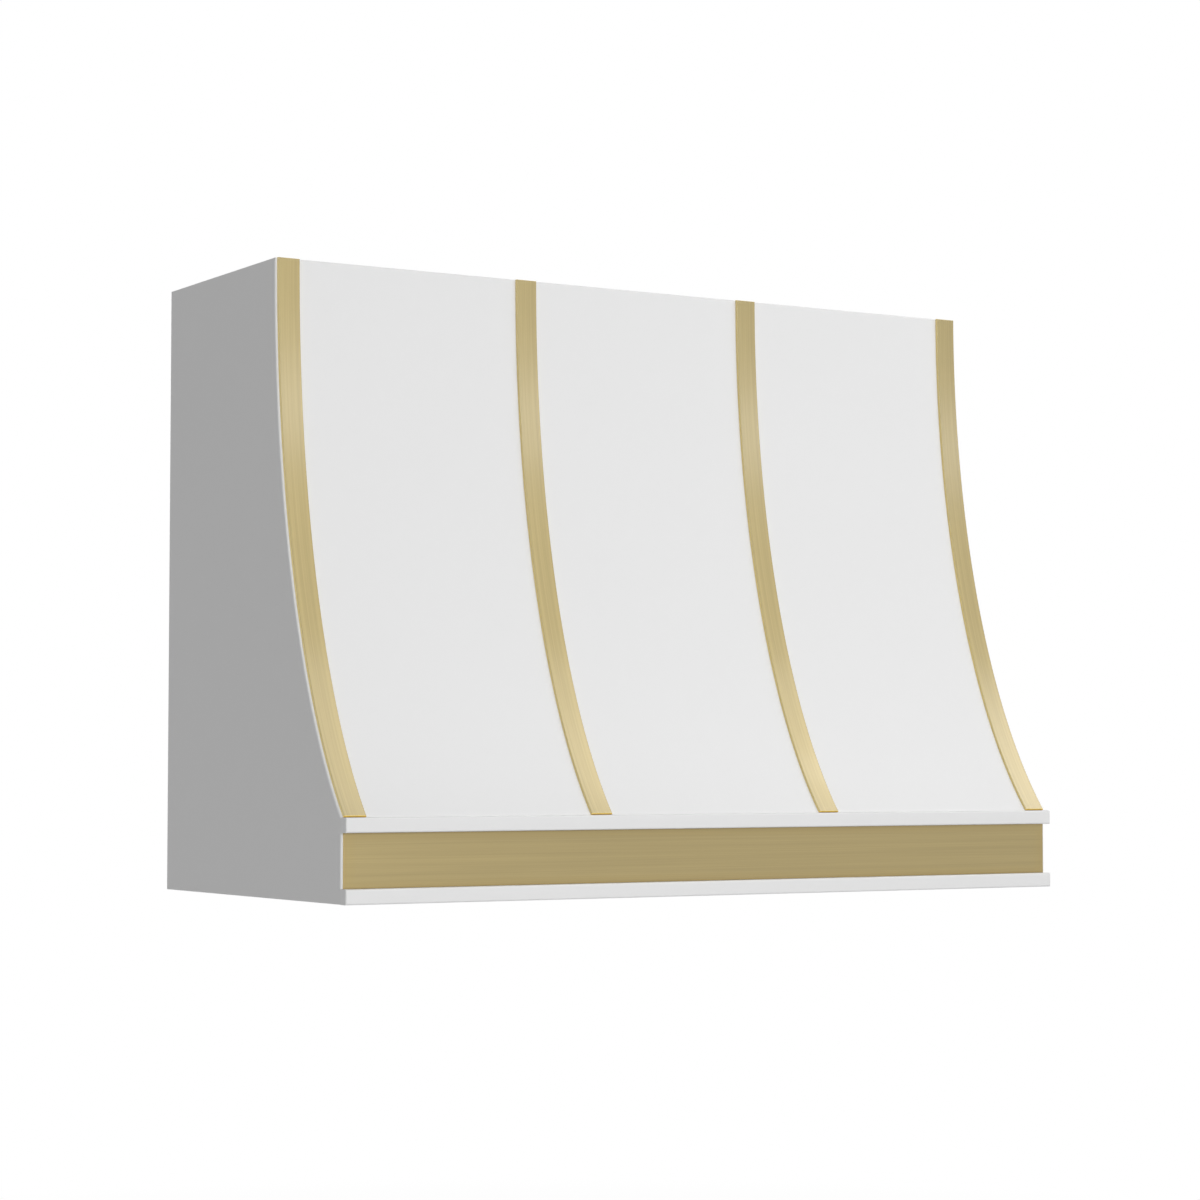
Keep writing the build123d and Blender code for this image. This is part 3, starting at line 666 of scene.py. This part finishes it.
@dataclass(frozen=True)
class Palette:
    """All finishes of the hood."""

    ply_colour: ClassVar[Triple] = (0.58, 0.41, 0.22)
    paint: SatinPaint = SatinPaint("satin_white_paint", "white_paint", (0.80, 0.80, 0.80))
    strap_brass: BrushedMetal = BrushedMetal(
        "strap_brass",
        "brushed_brass",
        (0.345, 0.275, 0.117),
        along=None,
        # Painted highlight along the straps' sides and eased edges
        painted_edge_colour=(0.74, 0.59, 0.24),
        # Painted glint on the straps' feet
        foot_glint_colour=(0.80, 0.55, 0.08),
        roughness=0.48,
        contrast=0.17,
        lacquer=1.0,
    )
    band_brass: BrushedMetal = BrushedMetal(
        "band_brass",
        "brushed_brass",
        (0.375, 0.296, 0.133),
        # Painted darker line along the band's eased edges
        painted_edge_colour=(0.40, 0.29, 0.10),
        roughness=0.40,
        contrast=0.09,
        lacquer=0.6,
    )
    steel: BrushedMetal = BrushedMetal("brushed_steel", "stainless_steel", (0.60, 0.60, 0.59))
    zinc: ZincSheet = ZincSheet("zinc_coated_sheet", "zinc_coated_steel", (0.56, 0.58, 0.60))
    nickel: CastMetal = CastMetal(
        "magnet_nickel", "magnet_nickel", (0.66, 0.64, 0.60), roughness=0.22, skin_depth=0.00001
    )
    aluminium: CastMetal = CastMetal("cast_aluminium", "cast_aluminium", (0.55, 0.56, 0.57))
    bright: BrushedMetal = BrushedMetal(
        "ground_steel", "bright_steel", (0.62, 0.62, 0.63), roughness=0.2
    )
    lens: FrostedLens = FrostedLens("frosted_lens", "lens_glass", (0.93, 0.93, 0.88))
    button: MouldedPlastic = MouldedPlastic(
        "satin_silver_plastic",
        "button_plastic",
        (0.50, 0.50, 0.51),
        roughness=0.32,
        grain_depth=0.00001,
    )
    black: MouldedPlastic = MouldedPlastic("black_plastic", "black_plastic", (0.028, 0.028, 0.030))
    enamel: Enamel = Enamel("motor_enamel", "motor_enamel", (0.03, 0.03, 0.033))
    flat_ply: Plywood = Plywood("plywood_flat", "plywood", ply_colour, start=0.038)
    top_ply: Plywood = Plywood("plywood_top", "plywood", ply_colour, start=0.8954)
    rail_ply: Plywood = Plywood("plywood_rail", "plywood", ply_colour, through=Axis.Y)
    rib_ply: Plywood = Plywood(
        "plywood_rib", "plywood", ply_colour, along=Axis.Z, through=Axis.X, start=0.1882
    )
    cleat_pine: Plywood = Plywood(
        "cleat_pine", "plywood", (0.66, 0.48, 0.27), along=Axis.Y, layer=0.05
    )


# Surfaces


@dataclass
class Skin:
    """Closed surface as arrays, with its UV map and its marks per point."""

    points: np.ndarray
    faces: list[list[int]]
    uv: np.ndarray
    marks: dict[str, np.ndarray]

    def volume(self) -> float:
        """Signed volume: the sum, over a fan of triangles per face, of a . (b x c) / 6.

        Returns:
            Volume, which is positive where the faces point outwards.
        """
        total = 0.0
        for size in {len(face) for face in self.faces}:
            corners = self.points[np.array([face for face in self.faces if len(face) == size])]
            for second in range(1, size - 1):
                a, b, c = corners[:, 0], corners[:, second], corners[:, second + 1]
                total += float(np.einsum("ij,ij->", a, np.cross(b, c))) / 6.0
        return total

    def build(self, name: str) -> bpy.types.Object:
        """Makes the object, smooth except across sharp edges, with weighted normals.

        Args:
            name: Name of the piece.

        Returns:
            The object at the origin.
        """
        faces = self.faces if self.volume() > 0 else [face[::-1] for face in self.faces]
        mesh = bpy.data.meshes.new(name)
        mesh.from_pydata(self.points.tolist(), [], faces)
        corners = np.empty(len(mesh.loops), dtype=np.int32)
        mesh.loops.foreach_get("vertex_index", corners)
        layer = mesh.uv_layers.new(name=GRAIN_MAP)
        layer.data.foreach_set("uv", self.uv[corners].astype(np.float32).ravel())
        for mark, values in self.marks.items():
            mesh.attributes.new(mark, "FLOAT", "POINT")
            mesh.attributes[mark].data.foreach_set("value", values.astype(np.float32))
        mesh.shade_smooth()
        mesh.set_sharp_from_angle(angle=SHARP_ANGLE)
        mesh.validate()
        piece = bpy.data.objects.new(name, mesh)
        bpy.context.scene.collection.objects.link(piece)
        weight = piece.modifiers.new("weighted_normals", "WEIGHTED_NORMAL")
        weight.keep_sharp = True
        return piece


def lines(length: float, first: float, last: float, spans: int) -> np.ndarray:
    """Places of the grid lines along one side of a slab.

    Over an eased edge of radius r the lines lie at r (1 - cos t), with t from 0 to a right
    angle, and between the edges they are even.

    Args:
        length: Length of the side.
        first: Radius of the edge at its start, or zero.
        last: Radius of the edge at its end, or zero.
        spans: Number of even spans between.

    Returns:
        Rising places from 0 to the length.
    """
    turn = 1.0 - np.cos(np.linspace(0.0, QUARTER_TURN, EASE_LINES))
    start = first * turn
    end = length - last * turn[::-1]
    middle = np.linspace(start[-1], end[0], spans + 1)
    return np.unique(np.round(np.concatenate([start, middle, end]), 9))


def ease_depth(place: np.ndarray, length: float, first: float, last: float) -> np.ndarray:
    """Depth of eased edges below the face: r - sqrt(r^2 - (r - d)^2) at a distance d below r.

    Args:
        place: Places along one side.
        length: Length of the side.
        first: Radius of the edge at its start, or zero.
        last: Radius of the edge at its end, or zero.

    Returns:
        Depth at each place.
    """
    depth = np.zeros_like(place)
    for radius, distance in ((first, place), (last, length - place)):
        if radius > 0:
            short = np.clip(radius - distance, 0.0, radius)
            depth = np.maximum(depth, radius - np.sqrt(radius**2 - short**2))
    return depth


@dataclass(frozen=True)
class Slab:
    """Panel of even thickness whose face may be bent, with eased edges round the face.

    The spans are counted along and across. The radii of ease are those of the start, the end, the
    near and the far edge. The edge mark is one at the rim and zero from the distance fade on.
    """

    length: float
    breadth: float
    thickness: float
    spans: Spans
    ease: tuple[float, float, float, float]
    fade: float

    def skin(self, place: Place) -> Skin:
        """Grid of the face and of the back, joined by a wall all round.

        The face lies max(e(u), e(v)) deep, with e the depth of the eased edges, and place()
        bends the flat (u, v, depth) into the frame.

        Args:
            place: Function of the distance along, the distance across and the depth.

        Returns:
            The closed surface.
        """
        start, end, near, far = self.ease
        along = lines(self.length, start, end, self.spans[0])
        across = lines(self.breadth, near, far, self.spans[1])
        u, v = np.meshgrid(along, across, indexing="ij")
        depth = np.maximum(
            ease_depth(u, self.length, start, end), ease_depth(v, self.breadth, near, far)
        )
        face = place(u, v, depth)
        back = place(u, v, np.full_like(u, self.thickness))
        points = np.concatenate([face.reshape(-1, 3), back.reshape(-1, 3)])
        rows, columns = u.shape
        index = np.arange(rows * columns).reshape(rows, columns)
        quads = np.stack([index[:-1, :-1], index[1:, :-1], index[1:, 1:], index[:-1, 1:]], -1)
        front = quads.reshape(-1, 4)
        behind = front[:, ::-1] + rows * columns
        rim = np.concatenate([index[:, 0], index[-1, 1:], index[-2::-1, -1], index[0, -2:0:-1]])
        ahead = np.roll(rim, -1)
        wall = np.stack([rim, rim + rows * columns, ahead + rows * columns, ahead], -1)
        gap = np.minimum.reduce([u, self.length - u, v, self.breadth - v])
        edge = np.clip(1.0 - gap / self.fade, 0.0, 1.0)
        uv = np.stack([u, v], -1).reshape(-1, 2)
        return Skin(
            points,
            np.concatenate([front, behind, wall]).tolist(),
            np.concatenate([uv, uv]),
            {EDGE_MARK: np.concatenate([edge.ravel(), edge.ravel()])},
        )


def upright(left: float, front: float, bottom: float) -> Place:
    """Stands a flat panel upright: X grows with u, Z with v and Y with the depth.

    Args:
        left: X of the panel's left edge.
        front: Y of its face.
        bottom: Z of its lower edge.

    Returns:
        Function of the distance along, the distance up and the depth.
    """
    return lambda u, v, depth: np.stack([left + u, front + depth, bottom + v], -1)


def stack(loops: np.ndarray, edge: np.ndarray) -> Skin:
    """Stack of closed loops of as many points each, with a flat cap on the first and the last.

    Args:
        loops: Array of loops, points and coordinates.
        edge: Edge mark of each point of each loop.

    Returns:
        The closed surface, with Y and Z as its UV map.
    """
    count, size = loops.shape[:2]
    index = np.arange(count * size).reshape(count, size)
    ahead = np.roll(index, -1, axis=1)
    walls = np.stack([index[:-1], ahead[:-1], ahead[1:], index[1:]], -1).reshape(-1, 4)
    points = loops.reshape(-1, 3)
    faces = walls.tolist() + [index[0][::-1].tolist(), index[-1].tolist()]
    return Skin(points, faces, points[:, 1:], {EDGE_MARK: edge.reshape(-1)})


# Pieces


def dress(finish: Finish, *nodes: str) -> None:
    """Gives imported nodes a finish.

    Args:
        finish: Finish of the nodes.
        nodes: Names of the nodes.
    """
    for name in nodes:
        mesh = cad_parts[name].data
        mesh.materials.clear()
        mesh.materials.append(finish.material())
        log.info("node %s has the finish %s", name, finish.name)


def replace(node: str, skin: Skin, finish: Finish, body: str = "hood") -> None:
    """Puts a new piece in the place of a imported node.

    Args:
        node: Node that the piece stands for.
        skin: Surface of the piece.
        finish: Finish of the piece.
        body: Body that the piece rides on.
    """
    piece = skin.build(f"{node}_piece")
    piece.data.materials.append(finish.material())
    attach(piece, body)
    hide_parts(node)
    log.info("piece %s: %d faces, finish %s", piece.name, len(piece.data.polygons), finish.name)


@dataclass(frozen=True)
class FrontCurve:
    """Concave front: part of an ellipse that stands upright where it meets the top."""

    height: float = 0.9144
    foot: float = 0.1180
    top_depth: float = 0.3735
    foot_depth: float = 0.5936
    overrun: float = 0.1264

    @property
    def rise(self) -> float:
        """Upright half axis of the ellipse."""
        return self.height - self.foot + self.overrun

    @property
    def reach(self) -> float:
        """Level half axis of the ellipse."""
        fall = (self.height - self.foot) / self.rise
        return (self.foot_depth - self.top_depth) / (1.0 - math.sqrt(1.0 - fall**2))

    def end(self, back: np.ndarray) -> np.ndarray:
        """Angle at which the curve, moved back by a distance, meets the foot."""
        return np.arcsin((self.height - self.foot) / (self.rise + back))

    def point(self, angle: np.ndarray, back: np.ndarray) -> tuple[np.ndarray, np.ndarray]:
        """Point of the ellipse.

        Y is centre + (reach + back) cos a, and Z is height - (rise + back) sin a.

        Args:
            angle: Angle from the top.
            back: Distance towards the wall.

        Returns:
            Y and Z.
        """
        centre = -(self.top_depth + self.reach)
        y = centre + (self.reach + back) * np.cos(angle)
        return y, self.height - (self.rise + back) * np.sin(angle)

    def measure(self) -> tuple[np.ndarray, np.ndarray]:
        """Lengths along the curve, as sums of short chords.

        Returns:
            Angles, and the length of the curve from the top to each of them.
        """
        angles = np.linspace(0.0, float(self.end(np.array(0.0))), CHORDS + 1)
        y, z = self.point(angles, np.array(0.0))
        chords = np.hypot(np.diff(y), np.diff(z))
        return angles, np.concatenate([[0.0], np.cumsum(chords)])

    @property
    def length(self) -> float:
        """Length of the curve from the top to the foot."""
        return float(self.measure()[1][-1])

    def follow(self, left: float, front: float, square: float = 0.0) -> Place:
        """Function that bends a flat panel on to the curve.

        Args:
            left: X of the panel's left edge.
            front: Distance of the panel's face behind the curve.
            square: How far the foot is cut square to the curve, from 0, level, to 1, square.

        Returns:
            Function of the distance down the curve, the distance across and the depth.
        """
        angles, lengths = self.measure()
        whole = float(self.end(np.array(0.0)))

        def place(u: np.ndarray, v: np.ndarray, depth: np.ndarray) -> np.ndarray:
            """Bends a grid: the angle grows with u, and stretches so that level ends stay level.

            Args:
                u: Distances down the curve.
                v: Distances across.
                depth: Depths below the face.

            Returns:
                X, Y and Z of the grid.
            """
            back = front + depth
            stretch = (self.end(back) / whole - 1.0) * (1.0 - square * u / lengths[-1])
            angle = np.interp(u, lengths, angles) * (1.0 + stretch)
            y, z = self.point(angle, back)
            return np.stack([left + v, y, z], -1)

        return place


@dataclass
class HoodFace:
    """Sizes that the painted shell and its brass share. The band lies between two mouldings."""

    palette: Palette
    curve: FrontCurve = FrontCurve()
    half_width: float = 0.6096
    band_bottom: float = 0.0212
    band_top: float = 0.0972

    @property
    def apron_depth(self) -> float:
        """Depth of the apron, which hangs from the foot of the curve."""
        return self.curve.foot_depth


@dataclass
class PaintedShell(HoodFace):
    """White shell: two sides, the bent front and two mouldings round the apron."""

    side_board: float = 0.019
    lap: float = 0.0095
    front_board: float = 0.0064
    depth: float = 0.6096
    edge_radius: float = 0.003
    rim_radius: float = 0.0008
    top_radius: float = 0.002
    moulding_radius: float = 0.0025
    curve_points: int = 97
    edge_loops: int = 7
    front_spans: Spans = (120, 40)
    front_fade: float = 0.0015
    moulding_spans: Spans = (40, 2)
    moulding_fade: float = 0.003

    def side_outline(self, back: float) -> tuple[np.ndarray, np.ndarray]:
        """Outline of a side and how far each of its points moves in where the edge is eased.

        The outline runs from the foot of the wall edge to the front, up the curve and back along
        the top. A corner where the easing changes has one point for each side of it.

        Args:
            back: Distance by which the curved part lies behind the front.

        Returns:
            Y and Z of each point, and the Y and Z of its move.
        """
        curve = self.curve
        angles = np.linspace(float(curve.end(np.array(back))), 0.0, self.curve_points)
        y, z = curve.point(angles, np.array(back))
        tangent = np.stack([-curve.reach * np.sin(angles), -curve.rise * np.cos(angles)], -1)
        inward = np.stack([-tangent[:, 1], tangent[:, 0]], -1)
        inward /= np.linalg.norm(inward, axis=1, keepdims=True)
        front = -self.apron_depth
        edge, rim = self.edge_radius, self.rim_radius
        foot = [(0, 0), (front + edge, 0), (front, 0)]
        foot += [(front, self.band_bottom)] * 2 + [(front, self.band_top)] * 2
        foot += [(front, curve.foot)]
        foot_move = [(0, rim), (0, rim), (0, rim), (0, 0), (edge, 0), (edge, 0), (0, 0), (0, 0)]
        head = [(0, curve.height)]
        head_move = [(0, -rim)]
        inward_move = inward * edge
        inward_move[-1] = (inward_move[-1][0], -rim)
        outline = np.concatenate([foot, np.stack([y, z], -1), head])
        move = np.concatenate([foot_move, inward_move, head_move])
        return outline, move

    def side(self, sign: int) -> Skin:
        """Side board: an inner layer behind the bent front and an outer layer flush with it.

        The eased loops outside are the outline moved in by m (1 - cos t) at an X of r sin t.

        Args:
            sign: -1 for the left side and 1 for the right.

        Returns:
            The closed surface.
        """
        behind, _ = self.side_outline(self.front_board)
        flush, move = self.side_outline(0.0)
        inner = self.half_width - self.side_board
        step = self.half_width - self.lap
        start = self.half_width - self.edge_radius
        still = np.zeros_like(move)
        layers = [(inner, behind, still, 0.0), (step, behind, still, 0.0)]
        layers += [(step, flush, still, 0.0)]
        turns = np.linspace(0.0, QUARTER_TURN, self.edge_loops)
        for turn in turns:
            x = start + self.edge_radius * math.sin(turn)
            layers.append((x, flush, move * (1.0 - math.cos(turn)), float(turn < turns[-1])))
        loops = [
            np.column_stack([np.full(len(outline), sign * x), outline + shift])
            for x, outline, shift, _ in layers
        ]
        marks = [np.full(len(flush), mark) for *_, mark in layers]
        return stack(np.array(loops), np.array(marks))

    def front(self) -> Skin:
        """Bent front between the rebates, with its top edge eased.

        Returns:
            The closed surface.
        """
        half = self.half_width - self.lap
        ease = (self.top_radius, 0.0, 0.0, 0.0)
        length = self.curve.length
        slab = Slab(length, 2 * half, self.front_board, self.front_spans, ease, self.front_fade)
        return slab.skin(self.curve.follow(-half, 0.0))

    def moulding(self, bottom: float, top: float) -> Skin:
        """Moulding across the full width with all four edges of its face eased.

        Args:
            bottom: Z of its underside.
            top: Z of its upper side.

        Returns:
            The closed surface.
        """
        slab = Slab(
            2 * self.half_width,
            top - bottom,
            self.depth - self.apron_depth,
            self.moulding_spans,
            (self.moulding_radius,) * 4,
            self.moulding_fade,
        )
        return slab.skin(upright(-self.half_width, -self.depth, bottom))

    def build(self) -> None:
        """Builds and paints every piece of the shell."""
        paint = self.palette.paint
        replace("left_side_panel", self.side(-1), paint)
        replace("right_side_panel", self.side(1), paint)
        replace("front_panel", self.front(), paint)
        replace("lower_moulding", self.moulding(0.0, self.band_bottom), paint)
        replace("upper_moulding", self.moulding(self.band_top, self.curve.foot), paint)
        dress(paint, "apron_board")


@dataclass
class BrassTrim(HoodFace):
    """Four straps that follow the front and the band across the apron."""

    inset: float = 0.0032
    width: float = 0.0342
    thickness: float = 0.004
    glue: float = 0.0001
    bevel: float = 0.0007
    side_bevel: float = 0.0012
    foot_bevel: float = 0.0018
    square_foot: float = 0.45
    inner_centre: float = 0.1977
    band_thickness: float = 0.0014
    strap_spans: Spans = (140, 6)
    strap_fade: float = 0.0004
    glint_strength: float = 1.5
    band_spans: Spans = (60, 6)
    band_fade: float = 0.0011

    def strap(self, centre: float) -> Skin:
        """Strap on the curve with the edges of its face eased and its foot marked for a painted
        glint.

        At a height h over the foot, with a bevel b there, the glint's mark is c (1 - h / b).

        Args:
            centre: X of the strap's middle.

        Returns:
            The closed surface.
        """
        ease = (self.bevel, self.foot_bevel, self.side_bevel, self.side_bevel)
        length = self.curve.length
        metal = self.thickness - self.glue
        slab = Slab(length, self.width, metal, self.strap_spans, ease, self.strap_fade)
        left = centre - self.width / 2
        skin = slab.skin(self.curve.follow(left, -self.thickness, self.square_foot))
        # Painted glint: the mark that the brass turns into a bright gold line at the foot
        above = (length - skin.uv[:, 0]) / self.foot_bevel
        skin.marks[FOOT_GLINT_MARK] = np.clip(self.glint_strength * (1.0 - above), 0.0, 1.0)
        return skin

    def band(self) -> Skin:
        """Flat band across the apron with the edges of its face eased.

        Returns:
            The closed surface.
        """
        half = self.half_width - self.inset
        rise = self.band_top - self.band_bottom
        ease = (self.bevel,) * 4
        slab = Slab(2 * half, rise, self.band_thickness, self.band_spans, ease, self.band_fade)
        front = -self.apron_depth - self.band_thickness
        return slab.skin(upright(-half, front, self.band_bottom))

    def build(self) -> None:
        """Builds the straps and the band."""
        outer = self.half_width - self.inset - self.width / 2
        centres = {
            "left_outer": -outer,
            "left_inner": -self.inner_centre,
            "right_inner": self.inner_centre,
            "right_outer": outer,
        }
        for name, centre in centres.items():
            replace(f"{name}_strap", self.strap(centre), self.palette.strap_brass)
        replace("brass_band", self.band(), self.palette.band_brass)


@dataclass
class Carcass:
    """Bare boards inside the shell."""

    palette: Palette

    def build(self) -> None:
        """Gives every board the grain and layers that lie the way it was cut."""
        dress(self.palette.top_ply, "top_panel")
        dress(self.palette.rail_ply, "upper_hanging_rail", "lower_hanging_rail")
        dress(self.palette.rib_ply, "left_rib", "right_rib")
        dress(self.palette.flat_ply, "bottom_shelf")
        dress(self.palette.cleat_pine, "shelf_cleats", "top_cleats")


@dataclass
class MetalInsert:
    """Insert with filters, tray, lights and controls."""

    palette: Palette
    filters: tuple[str, ...] = ("left", "centre", "right")
    filter_parts: tuple[str, ...] = ("frame", "baffles", "handle")
    buttons: tuple[str, ...] = ("off", "low", "medium", "high", "light")

    def build(self) -> None:
        """Gives every piece of the insert its finish."""
        palette = self.palette
        dress(palette.steel, "insert_plate", "insert_screws", "filter_rack", "filter_hooks")
        dress(palette.steel, "grease_tray", "tray_brackets", "light_bezels", "control_plate")
        for side in self.filters:
            for part in self.filter_parts:
                dress(palette.steel, f"{side}_filter_{part}")
        dress(palette.nickel, "filter_magnets")
        dress(palette.aluminium, "light_bodies")
        dress(palette.lens, "light_lenses")
        dress(palette.button, *(f"{name}_button" for name in self.buttons))
        dress(palette.black, "switch_box")


@dataclass
class Blower:
    """Blower, damper and wiring box over the insert."""

    palette: Palette

    def build(self) -> None:
        """Gives every piece of the blower its finish."""
        palette = self.palette
        dress(palette.zinc, "plenum_box", "blower_cabinet", "blower_housing", "inlet_rings")
        dress(palette.zinc, "impeller", "motor_bracket", "duct_collar", "front_damper_flap")
        dress(palette.zinc, "rear_damper_flap", "junction_box", "junction_cover")
        dress(palette.enamel, "motor")
        dress(palette.bright, "motor_shaft", "damper_pin")
        dress(palette.black, "cable_gland")


# Studio


@dataclass(frozen=True)
class Lamp:
    """Soft lamp, with its width and height, that looks at a point."""

    name: str
    place: Triple
    aim: Triple
    size: Pair
    power: float

    def build(self) -> None:
        """Adds the lamp, which the camera doesn't see."""
        light = bpy.data.lights.new(self.name, "AREA")
        light.shape = "RECTANGLE"
        light.size, light.size_y = self.size
        light.energy = self.power
        lamp = bpy.data.objects.new(self.name, light)
        lamp.location = self.place
        direction = Vector(self.aim) - Vector(self.place)
        lamp.rotation_euler = direction.to_track_quat("-Z", "Y").to_euler()
        lamp.visible_camera = False
        bpy.context.scene.collection.objects.link(lamp)


@dataclass
class Studio:
    """White studio with a pale floor below the hood and soft lamps."""

    floor_level: float = -1.0
    floor_half: float = 30.0
    floor_tones: Pair = (0.86, 0.90)
    floor_grain: float = 3.0
    fade_scale: float = 0.1
    fade_stops: tuple[Pair, Pair] = ((0.15, 0.86), (0.40, 1.0))
    sky_level: float = 0.232
    sky_lobe: float = 0.75
    sky_falloff: float = 2.0
    sky_side: Triple = (-0.2, -0.98, 0.0)
    lamps: tuple[Lamp, ...] = (
        Lamp("front_lamp", (2.3, -4.4, 2.2), (2.3, -0.4, 0.69), (3.8, 0.35), 11.5),
        Lamp("side_lamp", (2.04, -1.25, 1.89), (0.55, -0.57, 0.16), (0.85, 0.72), 2.8),
        Lamp("foot_lamp", (2.0, -1.25, 2.95), (0.2, -0.58, 0.15), (2.6, 0.5), 2.2),
        Lamp("high_lamp", (1.7, -1.9, 2.9), (1.7, -0.5, 0.3), (3.2, 1.8), 24.0),
        Lamp("left_lamp", (-0.9, -4.4, 0.9), (-0.3, -0.4, 0.5), (1.2, 1.2), 45.5),
    )

    def build_floor(self) -> None:
        """Adds the floor, which only shows from above, so that views from below pass it.

        To rays that look it is nearly white below the hood and fully white farther away, and
        to rays that light it is a matte floor.
        """
        half = self.floor_half
        x, y = np.meshgrid([-half, half], [-half, half], indexing="ij")
        points = np.stack([x, y, np.full_like(x, self.floor_level)], -1).reshape(-1, 3)
        mesh = bpy.data.meshes.new("floor")
        mesh.from_pydata(points.tolist(), [], [[0, 2, 3, 1]])
        material = bpy.data.materials.new("pale_floor")
        shader = Shader(material)
        grain = shader.noise(shader.points(), self.floor_grain, 3.0)
        dark, light = self.floor_tones
        tone = shader.mix(grain, grey(dark), grey(light))
        matte = shader.add("ShaderNodeBsdfDiffuse", inputs={"Color": tone})
        glow = shader.add("ShaderNodeEmission", inputs={"Color": grey(1.0), "Strength": 1.0})
        away = shader.add(
            "ShaderNodeVectorMath", {"operation": "LENGTH"}, {0: shader.points()}, "Value"
        )
        share = self.seen(shader) * shader.ramp(away * self.fade_scale, *self.fade_stops)
        lit = shader.add("ShaderNodeMixShader", inputs={0: share, 1: matte, 2: glow})
        clear = shader.add("ShaderNodeBsdfTransparent")
        below = shader.add("ShaderNodeNewGeometry", output="Backfacing")
        shader.output(shader.add("ShaderNodeMixShader", inputs={0: below, 1: lit, 2: clear}))
        mesh.materials.append(material)
        floor = bpy.data.objects.new("floor", mesh)
        bpy.context.scene.collection.objects.link(floor)

    @staticmethod
    def seen(shader: Shader) -> Value:
        """Tells the rays that look from the rays that light.

        Args:
            shader: Shader that asks.

        Returns:
            One for the rays of the camera, of gloss and of glass, and zero for all others.
        """
        rays = [
            shader.add("ShaderNodeLightPath", output=name)
            for name in ("Is Camera Ray", "Is Glossy Ray", "Is Transmission Ray")
        ]
        return shader.math("MINIMUM", rays[0] + rays[1] + rays[2], 1.0)

    def build_world(self) -> None:
        """White surroundings to look at, and a dimmer sky, brighter in front, for the light."""
        world = bpy.data.worlds.new("studio")
        bpy.context.scene.world = world
        shader = Shader(world)
        direction = shader.add("ShaderNodeTexCoord", output="Generated")
        towards = shader.add(
            "ShaderNodeVectorMath",
            {"operation": "DOT_PRODUCT"},
            {0: direction, 1: self.sky_side},
            "Value",
        )
        lobe = shader.math("POWER", shader.math("MAXIMUM", towards, 0.0), self.sky_falloff)
        sky = lobe * self.sky_lobe + self.sky_level
        shown = shader.mix(self.seen(shader), sky, grey(1.0))
        light = shader.add("ShaderNodeBackground", inputs={"Color": shown, "Strength": 1.0})
        shader.add("ShaderNodeOutputWorld", inputs={"Surface": light})

    def build(self) -> None:
        """Builds the floor, the world and the lamps, and keeps the plain view transform."""
        self.build_floor()
        self.build_world()
        for lamp in self.lamps:
            lamp.build()
        bpy.context.scene.view_settings.view_transform = "Standard"


@dataclass(frozen=True)
class PhotoCamera:
    """Camera at the photograph's viewpoint, fitted to the edges of the hood."""

    place: Triple = (-2.4442, -4.3102, 0.1928)
    yaw: float = 0.5433
    pitch: float = 0.0533
    lens: float = 91.25
    sensor: float = 36.0

    def build(self) -> None:
        """Adds the camera and makes it the scene's camera."""
        data = bpy.data.cameras.new("photo_camera")
        data.lens = self.lens
        data.sensor_width = self.sensor
        camera = bpy.data.objects.new("photo_camera", data)
        camera.location = self.place
        camera.rotation_euler = (QUARTER_TURN + self.pitch, 0.0, -self.yaw)
        bpy.context.scene.collection.objects.link(camera)
        bpy.context.scene.camera = camera


def main() -> None:
    """Builds the camera, the hood and the studio, in that order."""
    logging.basicConfig(level=logging.INFO, format="%(name)s: %(message)s")
    palette = Palette()
    PhotoCamera().build()
    for assembly in (
        PaintedShell(palette),
        BrassTrim(palette),
        Carcass(palette),
        MetalInsert(palette),
        Blower(palette),
        Studio(),
    ):
        assembly.build()
        log.info("%s is ready", type(assembly).__name__)


if __name__ == "__main__":
    main()
